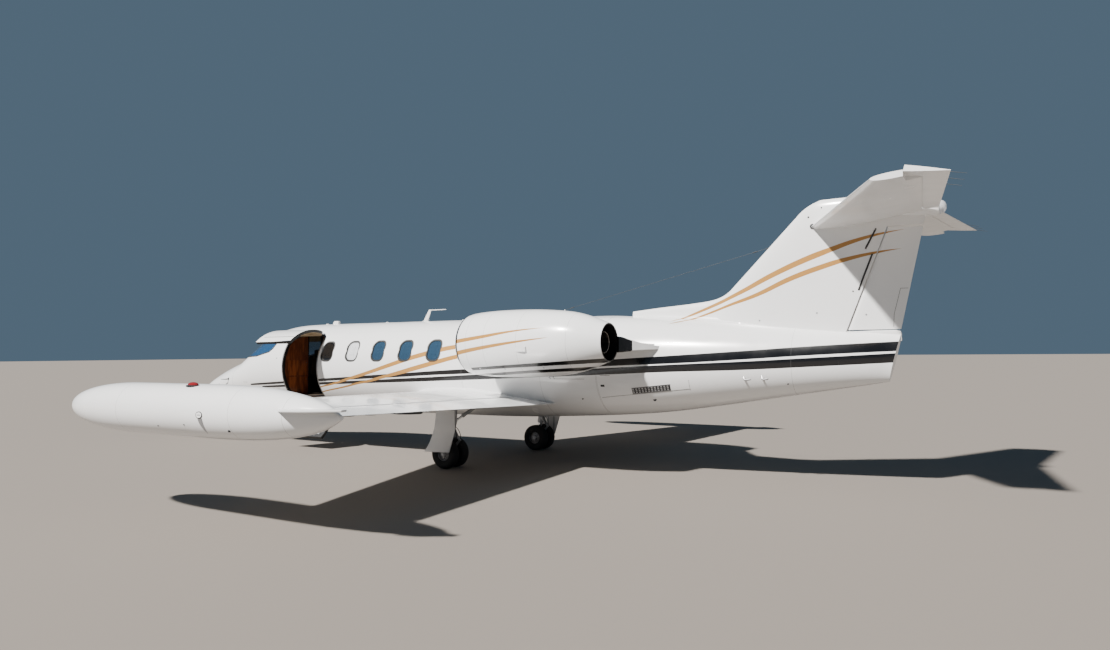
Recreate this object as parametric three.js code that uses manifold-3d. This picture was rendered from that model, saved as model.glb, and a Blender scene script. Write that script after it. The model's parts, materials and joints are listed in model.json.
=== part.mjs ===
// A straight-wing business jet with two fans on the rear fuselage, tip tanks and a T-tail, parked on
// its wheels with the cabin door open. Millimetres: nose towards -Y, port side +X, up +Z, and z = 0 is
// the ground. Stations run aft along +Y from the datum, and MIDDLE is the station at y = 0.
import * as THREE from 'three';
import { mergeVertices } from 'three/addons/utils/BufferGeometryUtils.js';
import Module from 'manifold-3d';

const wasm = await Module();
wasm.setup();

const NOSE_TIP = -50;
const TAIL_TIP = 14709;
const MIDDLE = (NOSE_TIP + TAIL_TIP) / 2;
const SEAT = 0.3;
const CLEAR = 7;
const END_CLEAR = 16;
const LUG = 5;
const SIDES = 32;

// Stations of the fuselage's joints, and the walls of its shells.
const NOSE_END = 1730;
const CABIN_END = 7620;
const TAIL_START = 9985;
const CABIN_WALL = 60;
const REAR_WALL = 20;
const FIN_WALL = 12;
const TAIL_HOLLOW_END = 13500;

// Fuselage sections: station, top, bottom, level of the widest point, half width.
const BODY = [
  [-50, 992, 968, 980, 12],
  [0, 1035, 925, 980, 72],
  [110, 1085, 878, 985, 140],
  [300, 1148, 838, 1000, 222],
  [600, 1275, 785, 1040, 332],
  [1000, 1425, 742, 1110, 448],
  [1400, 1552, 715, 1190, 552],
  [1730, 1645, 702, 1260, 628],
  [1900, 1745, 698, 1300, 656],
  [2100, 1885, 695, 1345, 686],
  [2300, 2015, 692, 1390, 712],
  [2500, 2120, 690, 1425, 735],
  [2750, 2215, 690, 1460, 760],
  [3050, 2272, 690, 1480, 784],
  [3400, 2294, 690, 1490, 798],
  [4000, 2300, 690, 1490, 800],
  [7620, 2290, 690, 1490, 800],
  [8400, 2285, 702, 1490, 784],
  [9200, 2280, 738, 1495, 748],
  [9985, 2265, 782, 1505, 700],
  [10800, 2225, 852, 1520, 632],
  [11600, 2155, 965, 1540, 548],
  [12400, 2070, 1092, 1565, 440],
  [13100, 1995, 1208, 1600, 316],
  [13600, 1955, 1292, 1630, 200],
  [13880, 1938, 1345, 1650, 96],
];

const colour = (hex, roughness, metalness = 0) => ({ hex, roughness, metalness });
const WHITE = colour(0xeef0f1, 0.25);
const RUBBER = colour(0x1b1b1c, 0.85);
const STEEL = colour(0x8d9094, 0.4, 0.8);
const DARK = colour(0x1e1f21, 0.5, 0.3);
const GLASS = colour(0x5f86a6, 0.05, 0.1);
const WOOD = colour(0x4a2516, 0.35);
const LEATHER = colour(0x24211f, 0.6);
const TAN = colour(0xb89c7a, 0.7);

// Basic tools for points, solids and meshes.
const at = (x, station, z) => new THREE.Vector3(x, station - MIDDLE, z);

function solid(geometry) {
  const plain = geometry.clone();
  for (const name of Object.keys(plain.attributes)) {
    if (name !== 'position') plain.deleteAttribute(name);
  }
  const merged = mergeVertices(plain, 1e-3);
  const index = merged.index.array;
  const kept = [];
  for (let i = 0; i < index.length; i += 3) {
    const [a, b, c] = [index[i], index[i + 1], index[i + 2]];
    if (a !== b && b !== c && c !== a) kept.push(a, b, c);
  }
  const mesh = new wasm.Mesh({
    numProp: 3,
    vertProperties: new Float32Array(merged.attributes.position.array),
    triVerts: new Uint32Array(kept),
  });
  mesh.merge();
  return new wasm.Manifold(mesh);
}

function toGeometry(manifold) {
  const mesh = manifold.getMesh();
  const geometry = new THREE.BufferGeometry();
  geometry.setAttribute('position', new THREE.BufferAttribute(new Float32Array(mesh.vertProperties), 3));
  geometry.setIndex(new THREE.BufferAttribute(new Uint32Array(mesh.triVerts), 1));
  geometry.computeVertexNormals();
  return geometry;
}

const parts = new THREE.Group();

function place(name, manifold, look, parent = parts) {
  const material = new THREE.MeshStandardMaterial({
    color: look.hex, roughness: look.roughness, metalness: look.metalness,
  });
  const mesh = new THREE.Mesh(toGeometry(manifold), material);
  mesh.name = name;
  parent.add(mesh);
  return mesh;
}

// A skin through rings of equally many points, closed by a fan at each end. The squares of its port side
// are split along one diagonal and those of its starboard side along the other, so both sides match.
function loft(rings) {
  const count = rings[0].length;
  const points = [];
  const faces = [];
  rings.forEach((ring) => ring.forEach((p) => points.push(p.x, p.y, p.z)));
  for (let k = 0; k + 1 < rings.length; k += 1) {
    for (let i = 0; i < count; i += 1) {
      const j = (i + 1) % count;
      const [a, b] = [k * count + i, k * count + j];
      const port = rings[k][i].x + rings[k][j].x >= 0;
      if (port) faces.push(a, b, b + count, a, b + count, a + count);
      else faces.push(a, b, a + count, b, b + count, a + count);
    }
  }
  [0, rings.length - 1].forEach((k, end) => {
    const centre = rings[k].reduce((sum, p) => sum.add(p), new THREE.Vector3()).divideScalar(count);
    const middle = points.length / 3;
    points.push(centre.x, centre.y, centre.z);
    for (let i = 0; i < count; i += 1) {
      const j = (i + 1) % count;
      if (end === 0) faces.push(middle, k * count + j, k * count + i);
      else faces.push(middle, k * count + i, k * count + j);
    }
  });
  let volume = 0;
  for (let f = 0; f < faces.length; f += 3) {
    const [a, b, c] = [0, 1, 2].map((n) => new THREE.Vector3().fromArray(points, faces[f + n] * 3));
    volume += a.dot(b.cross(c));
  }
  if (volume < 0) {
    for (let f = 0; f < faces.length; f += 3) {
      [faces[f], faces[f + 1]] = [faces[f + 1], faces[f]];
    }
  }
  const geometry = new THREE.BufferGeometry();
  geometry.setAttribute('position', new THREE.Float32BufferAttribute(points, 3));
  geometry.setIndex(faces);
  return solid(geometry);
}

function box(x0, x1, station0, station1, z0, z1) {
  const geometry = new THREE.BoxGeometry(x1 - x0, station1 - station0, z1 - z0);
  geometry.translate((x0 + x1) / 2, (station0 + station1) / 2 - MIDDLE, (z0 + z1) / 2);
  return solid(geometry);
}

// A round bar from one point to another, with a radius at each end.
function bar(from, to, radius, endRadius = radius, sides = 16) {
  const along = new THREE.Vector3().subVectors(to, from);
  const geometry = new THREE.CylinderGeometry(endRadius, radius, along.length(), sides);
  geometry.translate(0, along.length() / 2, 0);
  geometry.applyQuaternion(new THREE.Quaternion().setFromUnitVectors(
    new THREE.Vector3(0, 1, 0), along.normalize(),
  ));
  geometry.translate(from.x, from.y, from.z);
  return solid(geometry);
}

// A body turned about a line along Y at x and z: rows of radius and station.
function turned(rows, x, z, sides = 24) {
  const profile = rows.map(([radius, station]) => new THREE.Vector2(radius, station - MIDDLE));
  const geometry = new THREE.LatheGeometry(profile, sides);
  geometry.translate(x, 0, z);
  const made = solid(geometry);
  if (made.volume() > 0) return made;
  geometry.index.array.reverse();
  return solid(geometry);
}

// A wheel part turned about a line along X: rows of radius and offset from the wheel's middle.
function wheelPart(rows, x, station, z, sides = TYRE_SIDES) {
  const profile = rows.map(([radius, offset]) => new THREE.Vector2(radius, offset));
  const geometry = new THREE.LatheGeometry(profile, sides);
  geometry.rotateY(Math.PI / sides);
  geometry.rotateZ(-Math.PI / 2);
  geometry.rotateX(Math.PI / 2);
  geometry.translate(x, station - MIDDLE, z);
  const made = solid(geometry);
  if (made.volume() > 0) return made;
  geometry.index.array.reverse();
  return solid(geometry);
}

// A flat outline in the side view (station, z), stretched from x0 to x1.
function sidePlate(outline, x0, x1) {
  const shape = new THREE.Shape(outline.map(([station, z]) => new THREE.Vector2(station - MIDDLE, z)));
  return fromSide(shape, x0, x1);
}

function fromSide(shape, x0, x1, curveSegments = 4) {
  const geometry = new THREE.ExtrudeGeometry(shape, { depth: x1 - x0, bevelEnabled: false, curveSegments });
  const turn = new THREE.Matrix4().makeBasis(
    new THREE.Vector3(0, 1, 0), new THREE.Vector3(0, 0, 1), new THREE.Vector3(1, 0, 0),
  );
  geometry.applyMatrix4(turn);
  geometry.translate(x0, 0, 0);
  return solid(geometry);
}

// A flat outline in the top view (x, station), stretched from z0 to z1.
function topPlate(outline, z0, z1) {
  const shape = new THREE.Shape(outline.map(([x, station]) => new THREE.Vector2(x, station - MIDDLE)));
  const geometry = new THREE.ExtrudeGeometry(shape, { depth: z1 - z0, bevelEnabled: false });
  geometry.translate(0, 0, z0);
  return solid(geometry);
}

const mirrored = (manifold) => manifold.mirror([1, 0, 0]);
const SIDE_NAMES = [['left', 1], ['right', -1]];
const sided = (manifold, side) => (side > 0 ? manifold : mirrored(manifold));
const joined = (list) => list.reduce((sum, item) => sum.add(item));

// Fuselage shape: each column of BODY runs through its rows as a smooth curve.
function bodyAt(station) {
  const last = BODY.length - 1;
  let k = 0;
  while (k < last - 1 && station > BODY[k + 1][0]) k += 1;
  const [a, b] = [BODY[k], BODY[k + 1]];
  const before = BODY[Math.max(k - 1, 0)];
  const after = BODY[Math.min(k + 2, last)];
  const span = b[0] - a[0];
  const t = Math.min(Math.max((station - a[0]) / span, 0), 1);
  const value = (column) => {
    const slope = (from, to) => (to[column] - from[column]) / (to[0] - from[0]);
    const slopeA = k === 0 ? slope(a, b) : slope(before, b);
    const slopeB = k === last - 1 ? slope(a, b) : slope(a, after);
    const [t2, t3] = [t * t, t * t * t];
    return a[column] * (2 * t3 - 3 * t2 + 1) + b[column] * (3 * t2 - 2 * t3)
      + span * (slopeA * (t3 - 2 * t2 + t) + slopeB * (t3 - t2));
  };
  return { top: value(1), bottom: value(2), widest: value(3), half: value(4) };
}

function bodyPoint(station, angle, grow = 0) {
  const section = bodyAt(station);
  const rise = Math.sin(angle) >= 0 ? section.top - section.widest : section.widest - section.bottom;
  return at(
    (section.half + grow) * Math.cos(angle), station, section.widest + (rise + grow) * Math.sin(angle),
  );
}

function bodyRing(station, grow = 0) {
  const ring = [];
  for (let i = 0; i < SIDES; i += 1) ring.push(bodyPoint(station, (2 * Math.PI * i) / SIDES, grow));
  return ring;
}

function bodyStations(from, to) {
  const inner = BODY.map((row) => row[0]).filter((station) => station > from + 20 && station < to - 20);
  return [from, ...inner, to];
}

const bodyLoft = (from, to, grow = 0) => loft(bodyStations(from, to).map((s) => bodyRing(s, grow)));

// Nose with the open well of the nose gear.
const NOSE_GEAR = { station: 1630, axle: 228 };
const WELL = { half: 120, start: 900, top: 980 };

// An air-data probe: a swept arm from the skin and a tube that points ahead.
function makeProbe() {
  const root = bodyPoint(1560, THREE.MathUtils.degToRad(-12), -10);
  const elbow = root.clone().add(new THREE.Vector3(62, -50, -8));
  const tip = elbow.clone().add(new THREE.Vector3(4, -120, 0));
  return bar(root, elbow, 13, 8, 8).add(bar(elbow, tip, 8, 5, 8));
}

function makeNose() {
  const stations = [-50, -38, 0, 110, 300, 600, 1000, 1400, NOSE_END - SEAT];
  const skin = loft(stations.map((s) => bodyRing(s)));
  const well = box(-WELL.half, WELL.half, WELL.start, NOSE_END - 45, 500, WELL.top);
  return joined([skin.subtract(well), ...[1, -1].map((side) => sided(makeProbe(), side))]);
}

// Cabin with windows, windshield and doorway cut through its wall.
const WINDOW = { first: 4560, pitch: 616, level: 1778, width: 280, height: 340, corner: 105 };
const WINDOW_COUNT = { left: 5, right: 6 };
const WINDSHIELD = [[1650, 1682], [2540, 1712], [2930, 1790], [3020, 1850], [3075, 1985], [1650, 1985]];
const WINDSHIELD_POST = 26;
const DOOR = {
  start: 3420, end: 4330, top: 50, split: -17, bottom: -65, corner: 15, wall: 52, gap: 8, hinge: 8,
};

function windowCutter(station, x0, x1) {
  const [w, h, r] = [WINDOW.width / 2, WINDOW.height / 2, WINDOW.corner];
  const [y, z] = [station - MIDDLE, WINDOW.level];
  const shape = new THREE.Shape();
  shape.absarc(y + w - r, z + h - r, r, 0, Math.PI / 2);
  shape.absarc(y - w + r, z + h - r, r, Math.PI / 2, Math.PI);
  shape.absarc(y - w + r, z - h + r, r, Math.PI, 1.5 * Math.PI);
  shape.absarc(y + w - r, z - h + r, r, 1.5 * Math.PI, 2 * Math.PI);
  return fromSide(shape, x0, x1);
}

// A block that follows the fuselage from one angle to another, with its corners rounded off.
// margin draws its edges in, and scales give how deep it reaches to the inside and outside.
function doorBlock(fromAngle, toAngle, margin, innerScale, outerScale) {
  const steps = 16;
  const rings = [];
  const edge = THREE.MathUtils.radToDeg(margin / 800);
  const [low, high] = [DOOR.bottom + edge, DOOR.top - edge];
  const [start, end] = [Math.max(fromAngle + edge / 2, low), Math.min(toAngle - edge / 2, high)];
  for (let i = 0; i <= steps; i += 1) {
    const angle = start + ((end - start) * i) / steps;
    const near = Math.max(Math.min(angle - low, high - angle), 0);
    const inside = Math.min(near / DOOR.corner, 1);
    const draw = 215 * (1 - Math.sqrt(1 - (1 - inside) ** 2)) + margin;
    const [s0, s1] = [DOOR.start + draw, DOOR.end - draw];
    const corner = (station, scale) => {
      const section = bodyAt(station);
      const turn = THREE.MathUtils.degToRad(angle);
      const rise = turn >= 0 ? section.top - section.widest : section.widest - section.bottom;
      const [across, up] = [scale * section.half * Math.cos(turn), scale * rise * Math.sin(turn)];
      return at(across, station, section.widest + up);
    };
    rings.push([
      corner(s0, innerScale), corner(s1, innerScale), corner(s1, outerScale), corner(s0, outerScale),
    ]);
  }
  return loft(rings);
}

// An outline that runs anticlockwise, with every edge drawn in by a margin.
function drawnIn(outline, margin) {
  const edges = outline.map((from, k) => {
    const to = outline[(k + 1) % outline.length];
    const length = Math.hypot(to[0] - from[0], to[1] - from[1]);
    return [(from[1] - to[1]) / length, (to[0] - from[0]) / length];
  });
  return outline.map(([u, v], k) => {
    const [a, b] = [edges[(k + outline.length - 1) % outline.length], edges[k]];
    const scale = margin / (1 + a[0] * b[0] + a[1] * b[1]);
    return [u + (a[0] + b[0]) * scale, v + (a[1] + b[1]) * scale];
  });
}

function windshieldBlock(margin, side) {
  const outline = drawnIn(WINDSHIELD, margin);
  const post = WINDSHIELD_POST + margin;
  return side > 0 ? sidePlate(outline, post, 1200) : sidePlate(outline, -1200, -post);
}

// On the crown: a beacon with a small dome ahead of it, and a blade aerial with a rod that trails aft.
function roofForms() {
  const dome = bodyAt(3750).top;
  const beacon = bodyAt(3990).top;
  const blade = bodyAt(6200).top;
  return [
    bar(at(0, 3750, dome - 20), at(0, 3750, dome + 14), 34, 22, 12),
    sidePlate([
      [3915, beacon - 20], [4065, beacon - 20], [4058, beacon + 34], [4040, beacon + 46],
      [3950, beacon + 46], [3922, beacon + 22],
    ], -30, 30),
    sidePlate([[6150, blade - 15], [6260, blade - 15], [6335, 2482], [6335, 2500], [6290, 2500]], -7, 7),
    bar(at(0, 6330, 2491), at(0, 6670, 2491), 8, 6, 8),
  ];
}

function makeCabin() {
  let shell = joined([bodyLoft(NOSE_END, CABIN_END), ...roofForms()]);
  shell = shell.subtract(bodyLoft(NOSE_END + 45, CABIN_END - 60, -CABIN_WALL));
  SIDE_NAMES.forEach(([name, side]) => {
    const first = name === 'left' ? 0 : -1;
    const count = WINDOW_COUNT[name];
    for (let k = 0; k < count; k += 1) {
      const station = WINDOW.first + (first + k) * WINDOW.pitch;
      const [x0, x1] = side > 0 ? [400, 1000] : [-1000, -400];
      shell = shell.subtract(windowCutter(station, x0, x1));
    }
    shell = shell.subtract(windshieldBlock(0, side));
  });
  const below = doorBlock(DOOR.bottom, DOOR.split, 0, 0.55, 1.3);
  return shell.subtract(below.add(doorBlock(DOOR.split, DOOR.top, 0, 0.55, 1.3)));
}

// Wings, fins and tailplane are panels between a root and a tip section. A section has its leading and
// trailing edge and its thickness as a share of the chord.
const FOIL = [0, 0.012, 0.05, 0.12, 0.24, 0.38, 0.54, 0.7, 0.85, 1];

function halfThickness(f) {
  return 5 * (0.2969 * Math.sqrt(f) - 0.126 * f - 0.3516 * f ** 2 + 0.2843 * f ** 3 - 0.1015 * f ** 4);
}

// A hinge lies at one share of the chord all along, or goes from a share at the root to one at the tip.
const hingeShare = (share, u) => (Array.isArray(share) ? THREE.MathUtils.lerp(share[0], share[1], u) : share);

class Panel {
  constructor(root, tip, normal) {
    Object.assign(this, { root, tip, normal });
  }

  section(u) {
    const le = this.root.le.clone().lerp(this.tip.le, u);
    const te = this.root.te.clone().lerp(this.tip.te, u);
    const chord = new THREE.Vector3().subVectors(te, le);
    const thick = THREE.MathUtils.lerp(this.root.thick, this.tip.thick, u);
    const camber = THREE.MathUtils.lerp(this.root.camber ?? 0, this.tip.camber ?? 0, u);
    return { le, chord, length: chord.length(), thick, camber };
  }

  point(u, f, side, grow = 0) {
    const { le, chord, length, thick, camber } = this.section(u);
    const half = Math.max(halfThickness(Math.min(Math.max(f, 0), 1)) * thick * length, f > 0.5 ? 2.5 : 0);
    const arch = camber * length * 4 * f * (1 - f);
    return le.clone().addScaledVector(chord, f).addScaledVector(this.normal, arch + side * (half + grow));
  }

  ring(u, grow = 0) {
    const upper = FOIL.map((f) => this.point(u, f, 1, grow));
    const lower = FOIL.slice(1).reverse().map((f) => this.point(u, f, -1, grow));
    const ring = [...upper, ...lower];
    if (grow > 0) {
      const { chord } = this.section(u);
      const step = chord.normalize().multiplyScalar(grow);
      ring[0].sub(step);
      ring[FOIL.length - 1].add(step);
      ring[FOIL.length].add(step);
    }
    return ring;
  }

  body(steps = [0, 1], grow = 0) {
    return loft(steps.map((u) => this.ring(u, grow)));
  }

  hinge(u, share) {
    return this.point(u, hingeShare(share, u), 0);
  }

  noseRadius(u, f) {
    const { length, thick } = this.section(u);
    return Math.max(halfThickness(f) * thick * length - 1, 5);
  }

  // A moving surface behind the hinge's share of the chord, with a half-round nose about its hinge.
  flap(u0, u1, share) {
    const ring = (u) => {
      const f = hingeShare(share, u);
      const { chord } = this.section(u);
      const centre = this.point(u, f, 0);
      const along = chord.clone().normalize();
      const radius = this.noseRadius(u, f);
      const points = [];
      for (let k = 0; k <= 6; k += 1) {
        const turn = (Math.PI * k) / 6;
        points.push(centre.clone().addScaledVector(this.normal, radius * Math.cos(turn))
          .addScaledVector(along, -radius * Math.sin(turn)));
      }
      const rear = [0.35, 0.7, 1].map((share) => f + (1 - f) * share);
      rear.forEach((g) => points.push(this.point(u, g, -1)));
      rear.reverse().forEach((g) => points.push(this.point(u, g, 1)));
      return points;
    };
    return loft([ring(u0), ring(u1)]);
  }

  // The room that the moving surface needs, cut out of the fixed panel.
  cove(u0, u1, share, clear, endClear = END_CLEAR) {
    const ring = (u) => {
      const f = hingeShare(share, u);
      const { le, chord, length } = this.section(u);
      const front = f - (this.noseRadius(u, f) + clear) / length;
      const corner = (g, rise) => le.clone().addScaledVector(chord, g).addScaledVector(this.normal, rise);
      const tall = 0.25 * length;
      return [corner(front, tall), corner(front, -tall), corner(1.3, -tall), corner(1.3, tall)];
    };
    const spanLength = this.root.le.distanceTo(this.tip.le);
    const extra = endClear / spanLength;
    return loft([ring(u0 - extra), ring(u1 + extra)]);
  }

  // Hinge lugs of the fixed panel, which end at the moving surface's round nose.
  lugs(u0, u1, share, clear) {
    return [0.12, 0.5, 0.88].map((part) => {
      const u = THREE.MathUtils.lerp(u0, u1, part);
      const f = hingeShare(share, u);
      const { chord } = this.section(u);
      const along = chord.clone().normalize();
      const centre = this.point(u, f, 0);
      const radius = this.noseRadius(u, f);
      const axis = this.hinge(u1, share).sub(this.hinge(u0, share)).normalize();
      const lean = Math.tan(Math.asin(Math.abs(axis.dot(along))));
      const root = centre.clone().addScaledVector(along, -(radius + clear + 14));
      const end = centre.clone().addScaledVector(along, -(radius + SEAT + LUG * lean));
      return bar(root, end, LUG, LUG, 6);
    });
  }
}

const panel = (root, tip, normal) => new Panel(root, tip, new THREE.Vector3(...normal).normalize());

// Wing, with its control surfaces by share of the span between x0 and x1.
const WING = { x0: 480, x1: 5520 };
const wingEdge = (x) => ({
  le: at(x, 6420 + 0.284 * x, 985 + 0.035 * x),
  te: at(x, 9163 + 0.0715 * x, 940 + 0.035 * x),
});
const wing = panel(
  { ...wingEdge(WING.x0), thick: 0.09, camber: 0.012 },
  { ...wingEdge(WING.x1), thick: 0.085, camber: 0.012 },
  [0, 0, 1],
);
const wingShare = (x) => (x - WING.x0) / (WING.x1 - WING.x0);
const FLAP = { x0: 800, x1: 3690, hinge: 0.77 };
const AILERON = { x0: 3760, x1: 5330, hinge: 0.77 };
const SPOILER = { x0: 1700, x1: 3150, front: 0.645, rear: 0.72, thick: 14 };

const TANK = { x: 5720, z: 1172, start: 5908, end: 10190, radius: 268 };

function makeTank(grow = 0) {
  const { start, end, radius } = TANK;
  const nose = 1250;
  const rows = [[0, start - grow]];
  [10, 25, 45, 65, 90].forEach((degrees) => {
    const turn = THREE.MathUtils.degToRad(degrees);
    rows.push([(radius + grow) * Math.sin(turn) ** 0.9, start + nose * (1 - Math.cos(turn))]);
  });
  rows.push([radius + grow, 8650], [250 + grow, 9150], [204 + grow, 9600], [120 + grow, 9980]);
  rows.push([22 + grow, end], [0, end + grow + 4]);
  return turned(rows, TANK.x, TANK.z);
}

const TANK_FIN = [[5760, 9560], [5930, 9600], [6035, 9760], [5990, 9960], [5800, 10270], [5735, 10270]];

// A tip tank with its tail plate, a lamp on its back and a filler cap on its outer side.
function makeTipTank() {
  const lamp = bar(at(5800, 8200, 1380), at(5800, 8200, 1440), 22, 14, 10);
  const cap = bar(at(5900, 8570, 1160), at(TANK.x + TANK.radius + 4, 8570, 1160), 42, 42, 14);
  return joined([makeTank(), topPlate(TANK_FIN, 1228, 1250), lamp, cap]);
}

const spoilerPoint = (u, f, drop) => wing.point(u, f, 1).addScaledVector(wing.normal, -drop);

function spoilerBlock(u0, u1, f0, f1, over, under) {
  const ring = (u) => [
    spoilerPoint(u, f0, -over), spoilerPoint(u, f1, -over),
    spoilerPoint(u, f1, under), spoilerPoint(u, f0, under),
  ];
  return loft([ring(u0), ring(u1)]);
}

// The spoiler is a plate with a half-round front edge about its hinge.
const spoilerHinge = (u) => {
  const along = wing.section(u).chord.clone().normalize();
  return spoilerPoint(u, SPOILER.front, SPOILER.thick / 2).addScaledVector(along, SPOILER.thick / 2);
};

function makeSpoiler(u0, u1) {
  const ring = (u) => {
    const along = wing.section(u).chord.clone().normalize();
    const centre = spoilerHinge(u);
    const points = [0, 45, 90, 135, 180].map((degrees) => {
      const turn = THREE.MathUtils.degToRad(degrees);
      return centre.clone().addScaledVector(wing.normal, (SPOILER.thick / 2) * Math.cos(turn))
        .addScaledVector(along, (-SPOILER.thick / 2) * Math.sin(turn));
    });
    return [...points, spoilerPoint(u, SPOILER.rear, SPOILER.thick), spoilerPoint(u, SPOILER.rear, 0)];
  };
  return loft([ring(u0), ring(u1)]);
}

function spoilerLugs(u0, u1) {
  return [0.15, 0.5, 0.85].map((part) => {
    const u = THREE.MathUtils.lerp(u0, u1, part);
    const along = wing.section(u).chord.clone().normalize();
    const axis = spoilerHinge(u1).sub(spoilerHinge(u0)).normalize();
    const lean = Math.tan(Math.asin(Math.abs(axis.dot(along))));
    const end = spoilerHinge(u).addScaledVector(along, -(SPOILER.thick / 2 + SEAT + LUG * lean));
    return bar(end.clone().addScaledVector(along, -22), end, LUG, LUG, 6);
  });
}

function surfaceGroup(name, manifoldAt, from, to, degrees, look) {
  const axis = new THREE.Vector3().subVectors(to, from).normalize();
  const group = new THREE.Group();
  group.position.copy(from);
  group.quaternion.setFromAxisAngle(axis, THREE.MathUtils.degToRad(degrees));
  parts.add(group);
  place(name, manifoldAt.translate([-from.x, -from.y, -from.z]), look, group);
}

// The fairing that thickens the wing where it meets the fuselage, ahead of the flap.
const ROOT_FAIRING = [[480, 78], [760, 40], [860, 16], [960, -2]];
const FAIRING_END = 0.74;

function makeRootFairing(extra = 0) {
  const shares = FOIL.filter((f) => f < FAIRING_END);
  return loft(ROOT_FAIRING.map(([x, grow]) => {
    const u = wingShare(x);
    const fade = (f) => grow * Math.min((FAIRING_END - f) / 0.3, 1) + extra;
    const front = wing.point(u, 0, 1).add(new THREE.Vector3(0, -0.8 * grow - extra, 0));
    return [
      front, ...shares.slice(1).map((f) => wing.point(u, f, 1, fade(f))),
      ...shares.slice(1).reverse().map((f) => wing.point(u, f, -1, fade(f))),
    ];
  }));
}

// Hinge brackets below the rear of the wing: x, and the shares of the chord between which they hang.
const BRACKETS = [[2250, 0.52, 0.735], [3725, 0.6, 0.97], [4400, 0.55, 0.735]];

function makeBracket([x, front, rear]) {
  const u = wingShare(x);
  const hang = (f, drop) => {
    const point = wing.point(u, f, -1, drop);
    return [point.y + MIDDLE, point.z];
  };
  const outline = [hang(front, -6), hang((front + rear) / 2, 38), hang(rear, 30), hang(rear, -2)];
  return sidePlate(outline.reverse(), x - 9, x + 9);
}

function makeWing(side) {
  const steps = [0, 0.5, 1];
  let body = joined([wing.body(steps), makeRootFairing()]);
  const [f0, f1] = [wingShare(FLAP.x0), wingShare(FLAP.x1)];
  const [a0, a1] = [wingShare(AILERON.x0), wingShare(AILERON.x1)];
  const [s0, s1] = [wingShare(SPOILER.x0), wingShare(SPOILER.x1)];
  body = body.subtract(wing.cove(f0, f1, FLAP.hinge, CLEAR));
  body = body.subtract(wing.cove(a0, a1, AILERON.hinge, CLEAR));
  const extra = END_CLEAR / (WING.x1 - WING.x0);
  const [front, rear] = [SPOILER.front - 0.0035, SPOILER.rear + 0.004];
  body = body.subtract(spoilerBlock(s0 - extra, s1 + extra, front, rear, 60, 24));
  body = joined([
    body, ...wing.lugs(f0, f1, FLAP.hinge, CLEAR), ...wing.lugs(a0, a1, AILERON.hinge, CLEAR),
    ...spoilerLugs(s0, s1), ...BRACKETS.map(makeBracket),
  ]);
  body = body.subtract(makeTank(SEAT)).subtract(bodyLoft(5000, 11000, SEAT));
  const pieces = body.decompose().sort((a, b) => b.volume() - a.volume());
  return sided(pieces[0], side);
}

// Engine nacelles: an open duct with a round lip, a fan, the core and its nozzle, and a pylon.
const ENGINE = { x: 1250, z: 1862, fan: 8560, core: 8606 };
const FAN = { blades: 14, root: 100, tip: 356 };
const NACELLE_OUT = [
  [388, 8190], [412, 8197], [437, 8245], [462, 8380], [483, 8750], [483, 9250], [462, 9650],
  [426, 9970], [366, 10210], [262, 10500],
];
const NACELLE_IN = [
  [246, 10500], [330, 10250], [400, 9850], [400, 8760], [366, 8700], [366, 8450], [368, 8205],
];
const DUCT = { bypass: 400, sides: 28 };

function nacelleShape() {
  return turned([...NACELLE_OUT, ...NACELLE_IN, NACELLE_OUT[0]], ENGINE.x, ENGINE.z, DUCT.sides);
}

function nacelleOuter(grow) {
  const outside = NACELLE_OUT.map(([radius, station]) => [radius + grow, station]);
  return turned([[0, 8100], ...outside, [0, 10600]], ENGINE.x, ENGINE.z, DUCT.sides);
}

function makeCore() {
  const rows = [
    [0, ENGINE.core], [90, ENGINE.core], [190, 8640], [250, 8760], [262, 9300], [225, 9800],
    [172, 10200], [150, 10420], [138, 10420], [150, 10200], [120, 10050], [0, 10050],
  ];
  let core = turned(rows, ENGINE.x, ENGINE.z, 20);
  for (let k = 0; k < 4; k += 1) {
    const turn = (Math.PI / 2) * k + Math.PI / 4;
    const reach = DUCT.bypass * Math.cos(Math.PI / DUCT.sides) - 2 * SEAT;
    const strut = new THREE.BoxGeometry(reach - 200, 260, 26);
    strut.translate((reach + 200) / 2, 0, 0);
    strut.rotateY(-turn);
    strut.translate(ENGINE.x, 9000 - MIDDLE, ENGINE.z);
    core = core.add(solid(strut));
  }
  return core;
}

function makeFan() {
  const shaftEnd = ENGINE.core - SEAT;
  const hub = turned([
    [0, 8390], [60, 8430], [105, 8500], [118, 8600], [30, 8600], [30, shaftEnd], [0, shaftEnd],
  ], ENGINE.x, ENGINE.z, 20);
  const blades = [];
  for (let k = 0; k < FAN.blades; k += 1) {
    const blade = new THREE.BoxGeometry(FAN.tip - FAN.root, 62, 7);
    blade.rotateX(0.7);
    blade.translate((FAN.tip + FAN.root) / 2, 0, 0);
    blade.rotateY((2 * Math.PI * k) / FAN.blades);
    blade.translate(ENGINE.x, ENGINE.fan - MIDDLE, ENGINE.z);
    blades.push(solid(blade));
  }
  return joined([hub, ...blades]);
}

const PYLON = { z: 1835, start: 8560, nose: 8800, outerEnd: 10480, innerEnd: 10900, half: 105 };

function makePylon() {
  const half = (f) => Math.max(halfThickness(f) * PYLON.half * 2, f > 0.5 ? 5 : 0);
  const ring = (x, start, end) => {
    const point = (f, side) => at(x, start + f * (end - start), PYLON.z + side * half(f));
    return [...FOIL.map((f) => point(f, 1)), ...FOIL.slice(1).reverse().map((f) => point(f, -1))];
  };
  const slab = loft([ring(500, PYLON.start, PYLON.innerEnd), ring(1050, PYLON.nose, PYLON.outerEnd)]);
  const cut = slab.subtract(bodyLoft(8000, 11600, SEAT)).subtract(nacelleOuter(SEAT));
  return cut.decompose().sort((a, b) => b.volume() - a.volume())[0];
}

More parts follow.
